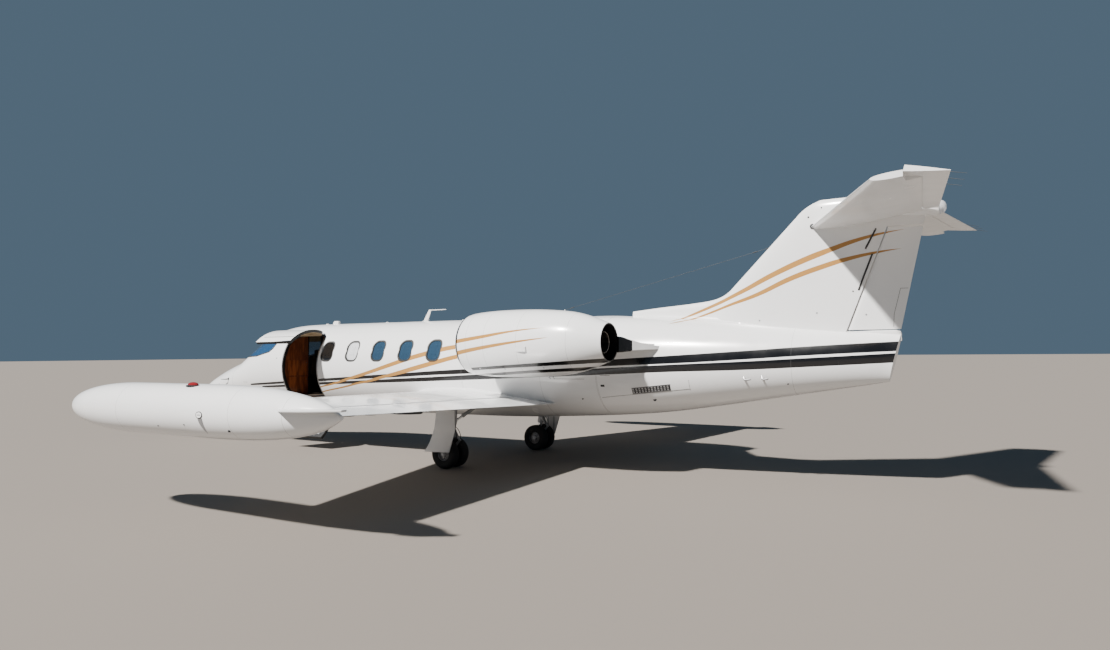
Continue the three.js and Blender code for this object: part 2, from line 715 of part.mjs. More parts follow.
// Fin, rudder, tailplane and elevators.
const finEdge = (z) => ({
  le: at(0, 11710 + 0.982 * (z - 2520), z), te: at(0, 13940 + 0.218 * (z - 1940), z),
});
const FIN = { low: 1850, high: 3690, rudderLow: 1990, rudderHigh: 3262, rudderRise: 28 };
const fin = panel({ ...finEdge(FIN.low), thick: 0.085 }, { ...finEdge(FIN.high), thick: 0.1 }, [1, 0, 0]);
const finShare = (z) => (z - FIN.low) / (FIN.high - FIN.low);
const RUDDER_HINGE = 0.79;

const STAB = { half: 2235, hinge: [0.9, 0.68], pitch: 0.0875, droop: 15 };
const stabLevel = (station) => 3480 + STAB.pitch * (station - 14300);
const stabEdge = (x) => {
  const [front, rear] = [12855 + 0.5 * x, 14400 + 0.139 * x];
  return { le: at(x, front, stabLevel(front)), te: at(x, rear, stabLevel(rear)) };
};
const stabPanel = (side) => panel(
  { ...stabEdge(0), thick: 0.09 },
  { le: stabEdge(STAB.half).le.multiply(new THREE.Vector3(side, 1, 1)),
    te: stabEdge(STAB.half).te.multiply(new THREE.Vector3(side, 1, 1)), thick: 0.09 },
  [0, -STAB.pitch, 1],
);

const BULLET = { z: 3478, start: 13850, radius: 82 };
const ELEVATOR = { x0: 112, x1: 2232, horn: 1990, hornFront: 14290 };

function makeStabiliser(grow = 0) {
  const halves = [1, -1].map((side) => stabPanel(side).body([0, 1], grow));
  let body = halves[0].add(halves[1]);
  if (grow === 0) {
    [1, -1].forEach((side) => {
      const half = stabPanel(side);
      const [u0, u1] = [ELEVATOR.x0 / STAB.half, ELEVATOR.horn / STAB.half];
      body = body.subtract(half.cove(u0, 1.02, STAB.hinge, CLEAR, CLEAR));
      body = joined([body, ...half.lugs(u0, u1, STAB.hinge, CLEAR)]);
      const [near, front] = [ELEVATOR.horn - CLEAR, ELEVATOR.hornFront - CLEAR];
      const room = box(near, near + 300, front, front + 700, 3280, 3680);
      body = body.subtract(sided(room, side));
    });
    const bullet = turned([
      [0, BULLET.start], [40, BULLET.start + 40], [BULLET.radius, 14100], [78, 14300], [60, 14396],
      [52, 14396], [48, 14430], [30, 14456], [0, 14464],
    ], 0, BULLET.z, 20);
    body = body.add(bullet);
  }
  return body;
}

function makeElevator(side) {
  const half = stabPanel(side);
  const u0 = (ELEVATOR.x0 + CLEAR) / STAB.half;
  const u1 = ELEVATOR.x1 / STAB.half;
  const blade = half.flap(u0, u1, STAB.hinge);
  const hornPanel = half.body([0, 1]);
  const { horn, x1, hornFront } = ELEVATOR;
  const hornBox = sided(box(horn, x1, hornFront, hornFront + 300, 3280, 3680), side);
  return blade.add(hornPanel.intersect(hornBox));
}

// The strake ahead of the fin: station, level of its ridge and half width at its foot.
const DORSAL = [
  [10262, 2330, 20], [10700, 2372, 50], [11200, 2412, 66], [11520, 2452, 74], [11680, 2512, 78],
  [11800, 2590, 80], [12300, 2620, 80],
];
const DORSAL_FOOT = 1950;

function makeStrake() {
  return loft(DORSAL.map(([station, top, half]) => {
    const foot = bodyAt(station).top - 12;
    const rise = (share) => foot + (top - foot) * share;
    const right = [
      [half * 1.5, DORSAL_FOOT], [half * 1.5, foot], [half, rise(0.2)], [half * 0.72, rise(0.6)],
      [half * 0.36, rise(0.92)],
    ];
    const points = [...right, [0, top], ...right.reverse().map(([x, z]) => [-x, z])];
    return points.map(([x, z]) => at(x, station, z));
  }));
}

// The hollow of the fin, open at its foot: its shares of the chord, and the level that it reaches.
const FIN_HOLLOW = { shares: [0.06, 0.12, 0.24, 0.38, 0.54, 0.71], high: 3180 };

function finHollow() {
  const { shares, high } = FIN_HOLLOW;
  return loft([0, finShare(high)].map((u) => [
    ...shares.map((f) => fin.point(u, f, 1, -FIN_WALL)),
    ...shares.toReversed().map((f) => fin.point(u, f, -1, -FIN_WALL)),
  ]));
}

// Aerial rods on both sides of the fin, ahead of the rudder: station and level of their ends.
const FIN_RODS = [[[13690, 3270], [13560, 3020]], [[13640, 2950], [13470, 2510]]];

function finRods() {
  return FIN_RODS.flatMap((ends) => [1, -1].map((side) => {
    const [from, to] = ends.map(([station, z]) => {
      const u = finShare(z);
      const { le, length } = fin.section(u);
      return fin.point(u, (station - MIDDLE - le.y) / length, side, 4);
    });
    return bar(from, to, 6, 6, 6);
  }));
}

function makeFin() {
  const steps = [0, 0.5, 0.96, 1];
  const rings = steps.map((u) => fin.ring(u));
  rings[3].forEach((p) => {
    p.x *= 0.4;
    p.y = Math.max(p.y, at(0, 13010, 0).y);
    p.z += 18;
  });
  let body = loft(rings);
  body = joined([body, makeStrake(), ...finRods()]).subtract(finHollow());
  body = body.subtract(fin.cove(
    finShare(FIN.rudderLow), finShare(FIN.rudderHigh), RUDDER_HINGE, CLEAR, FIN.rudderRise,
  ));
  body = body.subtract(box(-200, 200, 13350, 14500, 1700, FIN.rudderLow - FIN.rudderRise + 8));
  const rudderLugs = fin.lugs(finShare(FIN.rudderLow), finShare(FIN.rudderHigh), RUDDER_HINGE, CLEAR);
  body = joined([body, ...rudderLugs]);
  body = body.subtract(bodyLoft(9985, 13880, SEAT)).subtract(makeStabiliser(SEAT * 1.5));
  const room = BULLET.radius + 6;
  const bullet = turned(
    [[0, BULLET.start - 60], [room, 13990], [room, 14500], [0, 14520]], 0, BULLET.z, 20,
  );
  body = body.subtract(bullet);
  return body.decompose().sort((a, b) => b.volume() - a.volume())[0];
}

// Rear fuselage, with the mast of an aerial, and tail cone are shells, open where they meet.
function makeRear() {
  const crown = bodyAt(9070).top;
  const mast = bar(at(0, 9080, crown - 12), at(0, 9070, 2404), 14, 8, 8);
  const shell = bodyLoft(CABIN_END + SEAT, TAIL_START - SEAT).add(mast);
  return shell.subtract(bodyLoft(CABIN_END - 100, TAIL_START + 100, -REAR_WALL));
}

// Louvres of the port side's grille: its ends, the number of slats, and how far they stand out.
const GRILLE = { start: 10500, end: 11090, low: 1185, high: 1243, slats: 11, out: 7 };

function makeGrille() {
  const skin = bodyLoft(GRILLE.start - 100, GRILLE.end + 100, GRILLE.out);
  const pitch = (GRILLE.end - GRILLE.start) / GRILLE.slats;
  const slats = [];
  for (let k = 0; k < GRILLE.slats; k += 1) {
    const start = GRILLE.start + k * pitch;
    slats.push(box(0, 900, start, start + pitch * 0.55, GRILLE.low, GRILLE.high));
  }
  return skin.intersect(joined(slats));
}

function makeTailCone() {
  const drains = [[12060, 12095], [12290, 12325]].map(([top, foot]) => {
    const { half, widest } = bodyAt(top);
    return bar(at(half * 0.86, top, widest - 110), at(half * 0.98, foot, widest - 200), 10, 10, 8);
  });
  const shell = joined([bodyLoft(TAIL_START, 13880), makeGrille(), ...drains]);
  const inner = loft(bodyStations(TAIL_START - 200, TAIL_HOLLOW_END).map((s) => bodyRing(s, -REAR_WALL)));
  const slant = sidePlate(
    [[13960, 2200], [13955, 1940], [13800, 1330], [13750, 1200], [14300, 1200], [14300, 2200]], -400, 400,
  );
  return shell.subtract(inner).subtract(slant);
}

// Landing gear.
const TYRE_SIDES = 32;
const MAIN = { x: 1257, station: 7780, axle: 222, half: 119, top: 1010, tyre: 73, rim: 104, brake: 57 };
const tyreRows = (outer, half, bead) => [
  [bead, -half * 0.72], [outer * 0.78, -half], [outer * 0.95, -half * 0.8], [outer, -half * 0.4],
  [outer, half * 0.4], [outer * 0.95, half * 0.8], [outer * 0.78, half], [bead, half * 0.72],
  [bead, -half * 0.72],
];
const facetRadius = (radius, sides) => radius / Math.cos(Math.PI / sides);

function makeMainTyre(side, offset) {
  const outer = facetRadius(MAIN.axle, TYRE_SIDES);
  return wheelPart(tyreRows(outer, MAIN.tyre, MAIN.rim), side * (MAIN.x + offset), MAIN.station, MAIN.axle);
}

// A rim fits inside the flats of its tyre's bead.
const rimRadius = (bead) => bead * Math.cos(Math.PI / TYRE_SIDES) - SEAT;

// Rows of a wheel's rim, web and hub about the bore for its axle.
function wheelRows(centre, rim, hub, bore, half, flange) {
  const [web, well] = [half * 0.45, rim - 14];
  return [
    [bore, centre - half], [hub, centre - half], [hub + 8, centre - web], [well, centre - web],
    [rim, centre - flange], [rim, centre + flange], [well, centre + web], [hub + 8, centre + web],
    [hub, centre + half], [bore, centre + half], [bore, centre - half],
  ];
}

function makeTwinHubs(side) {
  const bore = 28.6;
  return [-1, 1].map((sign) => wheelPart(
    wheelRows(sign * MAIN.half, rimRadius(MAIN.rim), 48, bore, 56, 52),
    side * MAIN.x, MAIN.station, MAIN.axle, 20,
  ));
}

const GEAR_DOOR_INNER = 1494.3;
const GEAR_DOOR = [[7715, 900], [8050, 895], [8062, 590], [7955, 262], [7470, 250], [7640, 560], [7672, 610]];

function makeMainLeg(side) {
  const top = at(MAIN.x, MAIN.station + 70, MAIN.top);
  const foot = at(MAIN.x, MAIN.station, MAIN.axle);
  const knee = at(MAIN.x, MAIN.station + 28, 500);
  const across = (offset) => at(MAIN.x + offset, MAIN.station, MAIN.axle);
  let leg = joined([
    bar(top, knee, 56, 52, 16),
    bar(at(MAIN.x, MAIN.station + 30, 520), foot, 34, 34, 14),
    bar(across(-MAIN.half - 62), across(MAIN.half + 62), 28, 28, 14),
    bar(across(-38), across(38), 44, 44, 16),
    bar(across(-MAIN.brake), across(-30), 84, 84, 18),
    bar(across(30), across(MAIN.brake), 84, 84, 18),
  ]);
  const link = (from, to) => bar(from, to, 15, 15, 8);
  const apex = at(MAIN.x, MAIN.station + 175, 420);
  const [upperPin, lowerPin] = [at(MAIN.x, MAIN.station + 60, 560), at(MAIN.x, MAIN.station + 22, 262)];
  const arms = [820, 640].map((z) => {
    const reach = (x) => at(x, MAIN.station + 60, z);
    return bar(reach(MAIN.x + 20), reach(GEAR_DOOR_INNER - SEAT), 14, 14, 8);
  });
  leg = joined([leg, link(upperPin, apex), link(apex, lowerPin), ...arms]);
  leg = leg.subtract(wing.body([0, 0.5, 1], SEAT));
  return sided(leg.decompose().sort((a, b) => b.volume() - a.volume())[0], side);
}

function makeGearDoor(side) {
  return sided(sidePlate(GEAR_DOOR, GEAR_DOOR_INNER, 1508), side);
}

function makeBrace(side) {
  const from = at(MAIN.x - 30, MAIN.station + 60, 700);
  const to = at(700, MAIN.station + 250, 990);
  let brace = bar(from, to, 24, 24, 10);
  const [top, knee] = [at(MAIN.x, MAIN.station + 70, MAIN.top), at(MAIN.x, MAIN.station + 28, 500)];
  brace = brace.subtract(bar(top, knee, 56.6, 52.6, 16));
  brace = brace.subtract(wing.body([0, 0.5, 1], SEAT)).subtract(makeRootFairing(SEAT));
  brace = brace.subtract(bodyLoft(7000, 9000, SEAT));
  return sided(brace.decompose().sort((a, b) => b.volume() - a.volume())[0], side);
}

const NOSE = { tyre: 56, rim: 110, fork: 74 };

function makeNoseLeg() {
  const top = at(0, NOSE_GEAR.station, WELL.top - SEAT);
  const collar = at(0, NOSE_GEAR.station, 640);
  return bar(top, collar, 48, 46, 18);
}

function makeNoseFork() {
  const s = NOSE_GEAR.station;
  const arms = [1, -1].map((sign) => sidePlate(
    [[s - 26, NOSE_GEAR.axle - 30], [s + 26, NOSE_GEAR.axle - 30], [s + 34, 520], [s - 34, 520]],
    sign > 0 ? NOSE.fork : -NOSE.fork - 16, sign > 0 ? NOSE.fork + 16 : -NOSE.fork,
  ));
  const crown = box(-NOSE.fork - 16, NOSE.fork + 16, s - 40, s + 40, 505, 560);
  const post = bar(at(0, s, 550), at(0, s, 640 - SEAT), 36, 36, 16);
  const axle = bar(at(-NOSE.fork - 26, s, NOSE_GEAR.axle), at(NOSE.fork + 26, s, NOSE_GEAR.axle), 20, 20, 14);
  return joined([...arms, crown, post, axle]);
}

function makeNoseTyre() {
  const outer = facetRadius(NOSE_GEAR.axle, TYRE_SIDES);
  return wheelPart(tyreRows(outer, NOSE.tyre, NOSE.rim), 0, NOSE_GEAR.station, NOSE_GEAR.axle);
}

function makeNoseRim() {
  const rows = wheelRows(0, rimRadius(NOSE.rim), 40, 20.6, 66, 40);
  return wheelPart(rows, 0, NOSE_GEAR.station, NOSE_GEAR.axle, 20);
}

function makeNoseDoor(side) {
  const hinge = WELL.half + 14;
  const outline = [[920, 775], [1660, 700], [1660, 455], [1500, 440], [1000, 520]];
  const plate = sidePlate(outline, hinge, hinge + 10);
  return sided(plate.subtract(bodyLoft(0, 2500, SEAT)), side);
}

// Doors, glass and what shows inside the cabin.
function doorSkin() {
  return bodyLoft(3300, 4450).subtract(bodyLoft(3200, 4550, -DOOR.wall));
}

// The hinge lies just off the flat of the skin that the doorway's edge is on.
function hingePoint(angleDegrees) {
  const step = (2 * Math.PI) / SIDES;
  const turn = THREE.MathUtils.degToRad(angleDegrees);
  const middle = (Math.floor(turn / step) + 0.5) * step;
  const onFlat = Math.cos(step / 2) / Math.cos(turn - middle);
  const section = bodyAt(3875);
  const rise = turn >= 0 ? section.top - section.widest : section.widest - section.bottom;
  const out = DOOR.hinge + SEAT;
  return at(
    section.half * onFlat * Math.cos(turn) + out * Math.cos(middle), 3875,
    section.widest + rise * onFlat * Math.sin(turn) + out * Math.sin(middle),
  );
}

function hingeBar(angleDegrees) {
  const { x, z } = hingePoint(angleDegrees);
  return bar(at(x, DOOR.start + 190, z), at(x, DOOR.end - 190, z), DOOR.hinge, DOOR.hinge, 12);
}

const DOOR_OPEN = { upper: -63.5, lower: 111 };

// The leaf that joins the hinge bar to the door's skin; towards is -1 for a door below its hinge.
function hingeLeaf(angleDegrees, towards) {
  const turn = THREE.MathUtils.degToRad(angleDegrees);
  const centre = hingePoint(angleDegrees);
  const tangent = new THREE.Vector3(-Math.sin(turn), 0, Math.cos(turn)).multiplyScalar(towards);
  const aft = new THREE.Vector3(0, 1, 0);
  const basis = new THREE.Matrix4().makeBasis(tangent, aft, tangent.clone().cross(aft));
  const length = DOOR.end - DOOR.start - 380;
  const outward = -towards;
  const leaf = (near, far, low, high) => solid(new THREE.BoxGeometry(far - near, length, high - low)
    .translate((near + far) / 2, 0, (outward * (low + high)) / 2)
    .applyMatrix4(basis).translate(centre.x, centre.y, centre.z));
  return leaf(0, 34, -6, 0).add(leaf(14, 34, -14, -2));
}

function makeDoor(name, from, to, hingeAngle, degrees) {
  const gap = DOOR.gap;
  const panelSkin = doorSkin().intersect(doorBlock(from, to, gap, 0.7, 1.2));
  const towards = name === 'door_upper' ? -1 : 1;
  const skin = joined([panelSkin, hingeBar(hingeAngle), hingeLeaf(hingeAngle, towards)]);
  const hinge = hingePoint(hingeAngle);
  hinge.y = 0;
  const group = new THREE.Group();
  group.position.copy(hinge);
  group.rotation.y = THREE.MathUtils.degToRad(degrees);
  parts.add(group);
  place(name, skin.translate([-hinge.x, 0, -hinge.z]), WHITE, group);
}

function makeGlass(side) {
  const pane = bodyLoft(1740, 3200).subtract(bodyLoft(1640, 3300, -14));
  const cut = pane.intersect(windshieldBlock(SEAT, side));
  return cut.decompose().sort((a, b) => b.volume() - a.volume())[0];
}

const FLOOR = { low: 900, high: 960 };
const inside = (from, to) => bodyLoft(from, to, -CABIN_WALL - SEAT);

function makeSeat(x, station, facing) {
  const back = facing > 0 ? [station + 190, station + 290] : [station - 290, station - 190];
  const base = box(x - 200, x + 200, station - 180, station + 180, FLOOR.high + SEAT, 1200);
  const cushion = box(x - 255, x + 255, station - 270, station + 230, 1195, 1330);
  const rest = box(x - 240, x + 240, back[0], back[1], 1200, 1880);
  return joined([base, cushion, rest]);
}

// Three cabin seats on one rail along the wall.
const CABIN_SEATS = [[4700, -1], [5900, 1], [6700, 1]];

function makeCabinSeats(side) {
  const seats = CABIN_SEATS.map(([station, facing]) => makeSeat(420, station, facing));
  const rail = box(420, 560, 4500, 6900, FLOOR.high + SEAT, 1010);
  return sided(joined([...seats, rail]).intersect(inside(4000, 7560)), side);
}

// Assembly.
place('nose_cone', makeNose(), WHITE);
place('cabin_shell', makeCabin(), WHITE);
place('rear_fuselage', makeRear(), WHITE);
place('tail_cone', makeTailCone(), WHITE);
place('fin', makeFin(), WHITE);
place('stabiliser', makeStabiliser(), WHITE);

const [rudder0, rudder1] = [finShare(FIN.rudderLow), finShare(FIN.rudderHigh)];
const rudderAxis = [fin.hinge(rudder0, RUDDER_HINGE), fin.hinge(rudder1, RUDDER_HINGE)];
surfaceGroup('rudder', fin.flap(rudder0, rudder1, RUDDER_HINGE), ...rudderAxis, 0, WHITE);

SIDE_NAMES.forEach(([name, side]) => {
  place(`wing_${name}`, makeWing(side), WHITE);
  place(`tip_tank_${name}`, sided(makeTipTank(), side), WHITE);
  [['flap', FLAP], ['aileron', AILERON]].forEach(([kind, spec]) => {
    const blade = wing.flap(wingShare(spec.x0), wingShare(spec.x1), spec.hinge);
    place(`${kind}_${name}`, sided(blade, side), WHITE);
  });
  const plate = makeSpoiler(wingShare(SPOILER.x0), wingShare(SPOILER.x1));
  place(`spoiler_${name}`, sided(plate, side), WHITE);
  place(`nacelle_${name}`, sided(nacelleShape(), side), WHITE);
  place(`engine_${name}`, sided(makeCore(), side), STEEL);
  place(`fan_${name}`, sided(makeFan(), side), STEEL);
  place(`pylon_${name}`, sided(makePylon(), side), WHITE);
  const half = stabPanel(side);
  const [from, to] = [half.hinge(0, STAB.hinge), half.hinge(1, STAB.hinge)];
  surfaceGroup(`elevator_${name}`, makeElevator(side), from, to, side * -STAB.droop, WHITE);
  place(`main_leg_${name}`, makeMainLeg(side), STEEL);
  place(`gear_door_${name}`, makeGearDoor(side), WHITE);
  place(`side_brace_${name}`, makeBrace(side), STEEL);
  const [inner, outer] = makeTwinHubs(side);
  place(`wheel_inner_${name}`, side > 0 ? inner : outer, STEEL);
  place(`wheel_outer_${name}`, side > 0 ? outer : inner, STEEL);
  place(`tyre_inner_${name}`, makeMainTyre(side, -MAIN.half), RUBBER);
  place(`tyre_outer_${name}`, makeMainTyre(side, MAIN.half), RUBBER);
  place(`windshield_${name}`, makeGlass(side), GLASS);
  place(`nose_door_${name}`, makeNoseDoor(side), WHITE);
  place(`pilot_seat_${name}`, makeSeat(side * 340, 2900, 1).intersect(inside(2000, 4000)), LEATHER);
  place(`cabin_seats_${name}`, makeCabinSeats(side), TAN);
});

place('nose_leg', makeNoseLeg(), STEEL);
place('nose_fork', makeNoseFork(), STEEL);
place('nose_wheel', makeNoseRim(), STEEL);
place('nose_tyre', makeNoseTyre(), RUBBER);

makeDoor('door_upper', DOOR.split, DOOR.top, DOOR.top, DOOR_OPEN.upper);
makeDoor('door_lower', DOOR.bottom, DOOR.split, DOOR.bottom, DOOR_OPEN.lower);

const divider = (x0, x1) => box(x0, x1, 3280, 3340, FLOOR.high + SEAT, 2120).intersect(inside(3000, 4000));
const floor = box(-800, 800, 2250, 7550, FLOOR.low, FLOOR.high);
place('cabin_floor', floor.intersect(inside(2000, 7560)), DARK);
place('instrument_panel', box(-700, 700, 2180, 2330, 1130, 1640).intersect(inside(1900, 3000)), DARK);
place('divider_left', divider(110, 800), WOOD);
place('divider_right', divider(-800, -250), WOOD);

export default parts;
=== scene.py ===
import json
import math

import bpy
import numpy as np
from mathutils import Matrix, Vector


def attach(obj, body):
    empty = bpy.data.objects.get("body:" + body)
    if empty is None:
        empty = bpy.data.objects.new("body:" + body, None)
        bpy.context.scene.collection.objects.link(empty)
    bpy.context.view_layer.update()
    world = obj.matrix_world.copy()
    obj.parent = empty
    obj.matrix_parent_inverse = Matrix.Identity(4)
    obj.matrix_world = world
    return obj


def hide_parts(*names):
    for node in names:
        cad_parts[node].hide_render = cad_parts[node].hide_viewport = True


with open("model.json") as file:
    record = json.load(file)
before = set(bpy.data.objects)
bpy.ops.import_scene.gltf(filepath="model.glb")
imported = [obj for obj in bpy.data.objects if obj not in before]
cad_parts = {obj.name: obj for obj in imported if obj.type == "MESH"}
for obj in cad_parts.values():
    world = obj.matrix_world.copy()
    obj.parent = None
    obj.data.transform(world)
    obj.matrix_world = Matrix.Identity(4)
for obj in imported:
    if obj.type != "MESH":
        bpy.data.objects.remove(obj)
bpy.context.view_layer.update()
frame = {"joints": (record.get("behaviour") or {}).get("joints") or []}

# A straight-wing business jet on its wheels, in metres: nose towards -Y, port side +X, z = 0 the ground.
# Stations run aft from the datum, and the station MIDDLE is at y = 0.
MIDDLE = 7.3295
SIDES = (("left", 1), ("right", -1))
JOINTS = {joint["name"]: joint for joint in frame["joints"]}

# Camera: its place, its turn from abeam towards the nose, its look upwards and its lean
CAMERA_PLACE = (10.543, 15.301 - MIDDLE, 1.726)
CAMERA_YAW = 0.5466
CAMERA_PITCH = 0.0356
CAMERA_ROLL = -0.0073
FRAME_WIDTH = 1110
FOCAL_PIXELS = 777.2
SENSOR = 36
FAR = 1000

# A soft sky and a hard sun, with the way that its light travels
SKY_COLOUR = (0.47, 0.72, 1.0, 1)
SKY_STRENGTH = 0.19
SUN_TRAVEL = (-0.64, 0.22, -0.735)
SUN_ENERGY = 11.0
SUN_SPREAD = 2.5
SUN_COLOUR = (1.0, 0.965, 0.92)


def make_camera():
    bpy.ops.object.camera_add(location=CAMERA_PLACE)
    camera = bpy.context.object
    flat = Vector((-math.cos(CAMERA_YAW), -math.sin(CAMERA_YAW), 0))
    level = Vector((-math.sin(CAMERA_YAW), math.cos(CAMERA_YAW), 0))
    forward = flat * math.cos(CAMERA_PITCH) + Vector((0, 0, math.sin(CAMERA_PITCH)))
    upright = flat * -math.sin(CAMERA_PITCH) + Vector((0, 0, math.cos(CAMERA_PITCH)))
    right = level * math.cos(CAMERA_ROLL) + upright * math.sin(CAMERA_ROLL)
    up = upright * math.cos(CAMERA_ROLL) - level * math.sin(CAMERA_ROLL)
    turn = Matrix((right, up, -forward)).transposed()
    camera.rotation_euler = turn.to_euler()
    camera.data.sensor_width = SENSOR
    camera.data.lens = SENSOR * FOCAL_PIXELS / FRAME_WIDTH
    camera.data.clip_end = FAR
    bpy.context.scene.camera = camera


def make_light():
    world = bpy.data.worlds.new("soft_sky")
    world.use_nodes = True
    background = world.node_tree.nodes["Background"]
    background.inputs["Color"].default_value = SKY_COLOUR
    background.inputs["Strength"].default_value = SKY_STRENGTH
    bpy.context.scene.world = world
    bpy.ops.object.light_add(type="SUN", location=(0, 0, 30))
    sun = bpy.context.object
    sun.rotation_euler = Vector(SUN_TRAVEL).to_track_quat("-Z", "Y").to_euler()
    sun.data.energy = SUN_ENERGY
    sun.data.angle = math.radians(SUN_SPREAD)
    sun.data.color = SUN_COLOUR


make_camera()
make_light()


# Picking, edit-mode steps and modifiers

def deselect():
    if bpy.context.mode != "OBJECT":
        bpy.ops.object.mode_set(mode="OBJECT")
    bpy.ops.object.select_all(action="DESELECT")


def pick(piece):
    deselect()
    piece.select_set(True)
    bpy.context.view_layer.objects.active = piece


def mend(piece, merge=1e-5):
    """Merges doubles and turns all faces outwards."""
    pick(piece)
    bpy.ops.object.mode_set(mode="EDIT")
    bpy.ops.mesh.select_all(action="SELECT")
    bpy.ops.mesh.remove_doubles(threshold=merge)
    bpy.ops.mesh.normals_make_consistent(inside=False)
    bpy.ops.object.mode_set(mode="OBJECT")


def modify(piece, kind, **settings):
    pick(piece)
    modifier = piece.modifiers.new(kind.lower(), kind)
    for key, value in settings.items():
        setattr(modifier, key, value)
    bpy.ops.object.modifier_apply(modifier=modifier.name)
    return piece


def cut(piece, tool, operation="DIFFERENCE"):
    """Cuts a piece with a tool, which is gone then. The faces that it leaves have the tool's material."""
    modify(piece, "BOOLEAN", object=tool, operation=operation, solver="EXACT", material_mode="TRANSFER")
    bpy.data.objects.remove(tool)
    return piece


def smooth(piece, degrees=35):
    pick(piece)
    bpy.ops.object.shade_smooth_by_angle(angle=math.radians(degrees))
    return piece


def named(piece, name):
    piece.name = piece.data.name = name
    return piece


def join(name, pieces):
    deselect()
    for piece in pieces:
        piece.select_set(True)
    bpy.context.view_layer.objects.active = pieces[0]
    if len(pieces) > 1:
        bpy.ops.object.join()
    return named(bpy.context.object, name)


def copy_of(piece, name):
    made = piece.copy()
    made.data = piece.data.copy()
    bpy.context.scene.collection.objects.link(made)
    return named(made, name)


def mirrored(piece, name):
    """A copy on the other side of the centre plane, with its faces turned outwards."""
    made = copy_of(piece, name)
    made.data.transform(Matrix.Scale(-1, 4, (1, 0, 0)))
    made.data.flip_normals()
    return made


def settle(piece):
    """Puts the object at the origin, with its place in its mesh."""
    pick(piece)
    bpy.ops.object.transform_apply(location=True, rotation=True, scale=True)
    return piece


# Points and grown shapes

def at(x, station, z):
    return Vector((x, station - MIDDLE, z))


def sideways(x):
    return Vector((x, 0, 0))


def middle_of(ring):
    return sum((Vector(p) for p in ring), Vector()) / len(ring)


def skin(name, rings, around=True, ends=(True, True)):
    """A grid primitive bent through rings of points, closed all round and at the ends that are asked."""
    rows = [list(ring) for ring in rings]
    if ends[0]:
        rows.insert(0, [middle_of(rows[0])] * len(rows[0]))
    if ends[1]:
        rows.append([middle_of(rows[-1])] * len(rows[-1]))
    if around:
        rows = [row + [row[0]] for row in rows]
    deselect()
    bpy.ops.mesh.primitive_grid_add(x_subdivisions=len(rows[0]) - 1, y_subdivisions=len(rows) - 1)
    piece = named(bpy.context.object, name)
    points = np.array([[tuple(p) for p in row] for row in rows], float)
    piece.data.vertices.foreach_set("co", points.ravel())
    piece.data.update()
    mend(piece)
    return piece


def turned(name, rows, centre, axis="Y", sides=64, closed=True):
    """A lathe shape: rows of radius and place along the axis, about a line through the centre."""
    rings = []
    for radius, along in rows:
        ring = []
        for k in range(sides):
            turn = 2 * math.pi * (k + 0.5) / sides
            a, b = radius * math.cos(turn), radius * math.sin(turn)
            local = {"Y": (a, along, b), "X": (along, a, b), "Z": (a, b, along)}[axis]
            ring.append(Vector(centre) + Vector(local))
        rings.append(ring)
    if closed:
        rings.append(rings[0])
        return skin(name, rings, ends=(False, False))
    return skin(name, rings)


def bevel(piece, width, segments=2, degrees=40):
    return modify(piece, "BEVEL", width=width, segments=segments, limit_method="ANGLE",
                  angle_limit=math.radians(degrees), harden_normals=False)


def rod(name, start, end, radius, end_radius=None, sides=16, edge=0.0012):
    """A round bar between two points, its ends drawn in by a small bevel."""
    start, end = Vector(start), Vector(end)
    along = end - start
    deselect()
    bpy.ops.mesh.primitive_cone_add(
        vertices=sides, radius1=radius, radius2=radius if end_radius is None else end_radius,
        depth=along.length, location=(start + end) / 2, rotation=along.to_track_quat("Z", "Y").to_euler())
    piece = named(bpy.context.object, name)
    settle(piece)
    if edge:
        bevel(piece, edge, 1)
    return smooth(piece, 45)


def cross_rod(name, middle, reach, radius, **rest):
    """A round bar across the jet, as far to each side of its middle."""
    return rod(name, middle - sideways(reach), middle + sideways(reach), radius, **rest)


def block(name, low, high, edge=0.004, segments=2):
    deselect()
    low, high = Vector(low), Vector(high)
    bpy.ops.mesh.primitive_cube_add(size=1, location=(low + high) / 2)
    piece = named(bpy.context.object, name)
    piece.scale = high - low
    settle(piece)
    if edge:
        bevel(piece, edge, segments)
    return smooth(piece, 45)


def plate(name, outline, thickness, edge=0.0):
    """A filled outline of 3-D points on one plane, thickened to both sides."""
    deselect()
    bpy.ops.mesh.primitive_circle_add(vertices=len(outline), fill_type="NGON")
    piece = named(bpy.context.object, name)
    for vertex, point in zip(piece.data.vertices, outline):
        vertex.co = point
    modify(piece, "SOLIDIFY", thickness=thickness, offset=0)
    mend(piece)
    if edge:
        bevel(piece, edge, 2)
    return smooth(piece, 40)


def tube(name, points, radius, sides=8):
    """A bar that follows a smooth line of points."""
    deselect()
    bpy.ops.curve.primitive_bezier_curve_add()
    piece = named(bpy.context.object, name)
    spline = piece.data.splines[0]
    spline.bezier_points.add(len(points) - 2)
    for knot, point in zip(spline.bezier_points, points):
        knot.co = point
        knot.handle_left_type = knot.handle_right_type = "AUTO"
    piece.data.bevel_depth = radius
    piece.data.bevel_resolution = max(sides // 2 - 2, 0)
    piece.data.resolution_u = 6
    piece.data.use_fill_caps = True
    bpy.ops.object.convert(target="MESH")
    settle(piece)
    return smooth(piece, 50)


# Node helpers for the materials

def new_material(name, colour, roughness, metallic=0.0, **sockets):
    made = bpy.data.materials.new(name)
    made.use_nodes = True
    shader = made.node_tree.nodes["Principled BSDF"]
    shader.inputs["Base Color"].default_value = (*colour, 1)
    shader.inputs["Roughness"].default_value = roughness
    shader.inputs["Metallic"].default_value = metallic
    for key, value in sockets.items():
        shader.inputs[key.replace("_", " ")].default_value = value
    return made


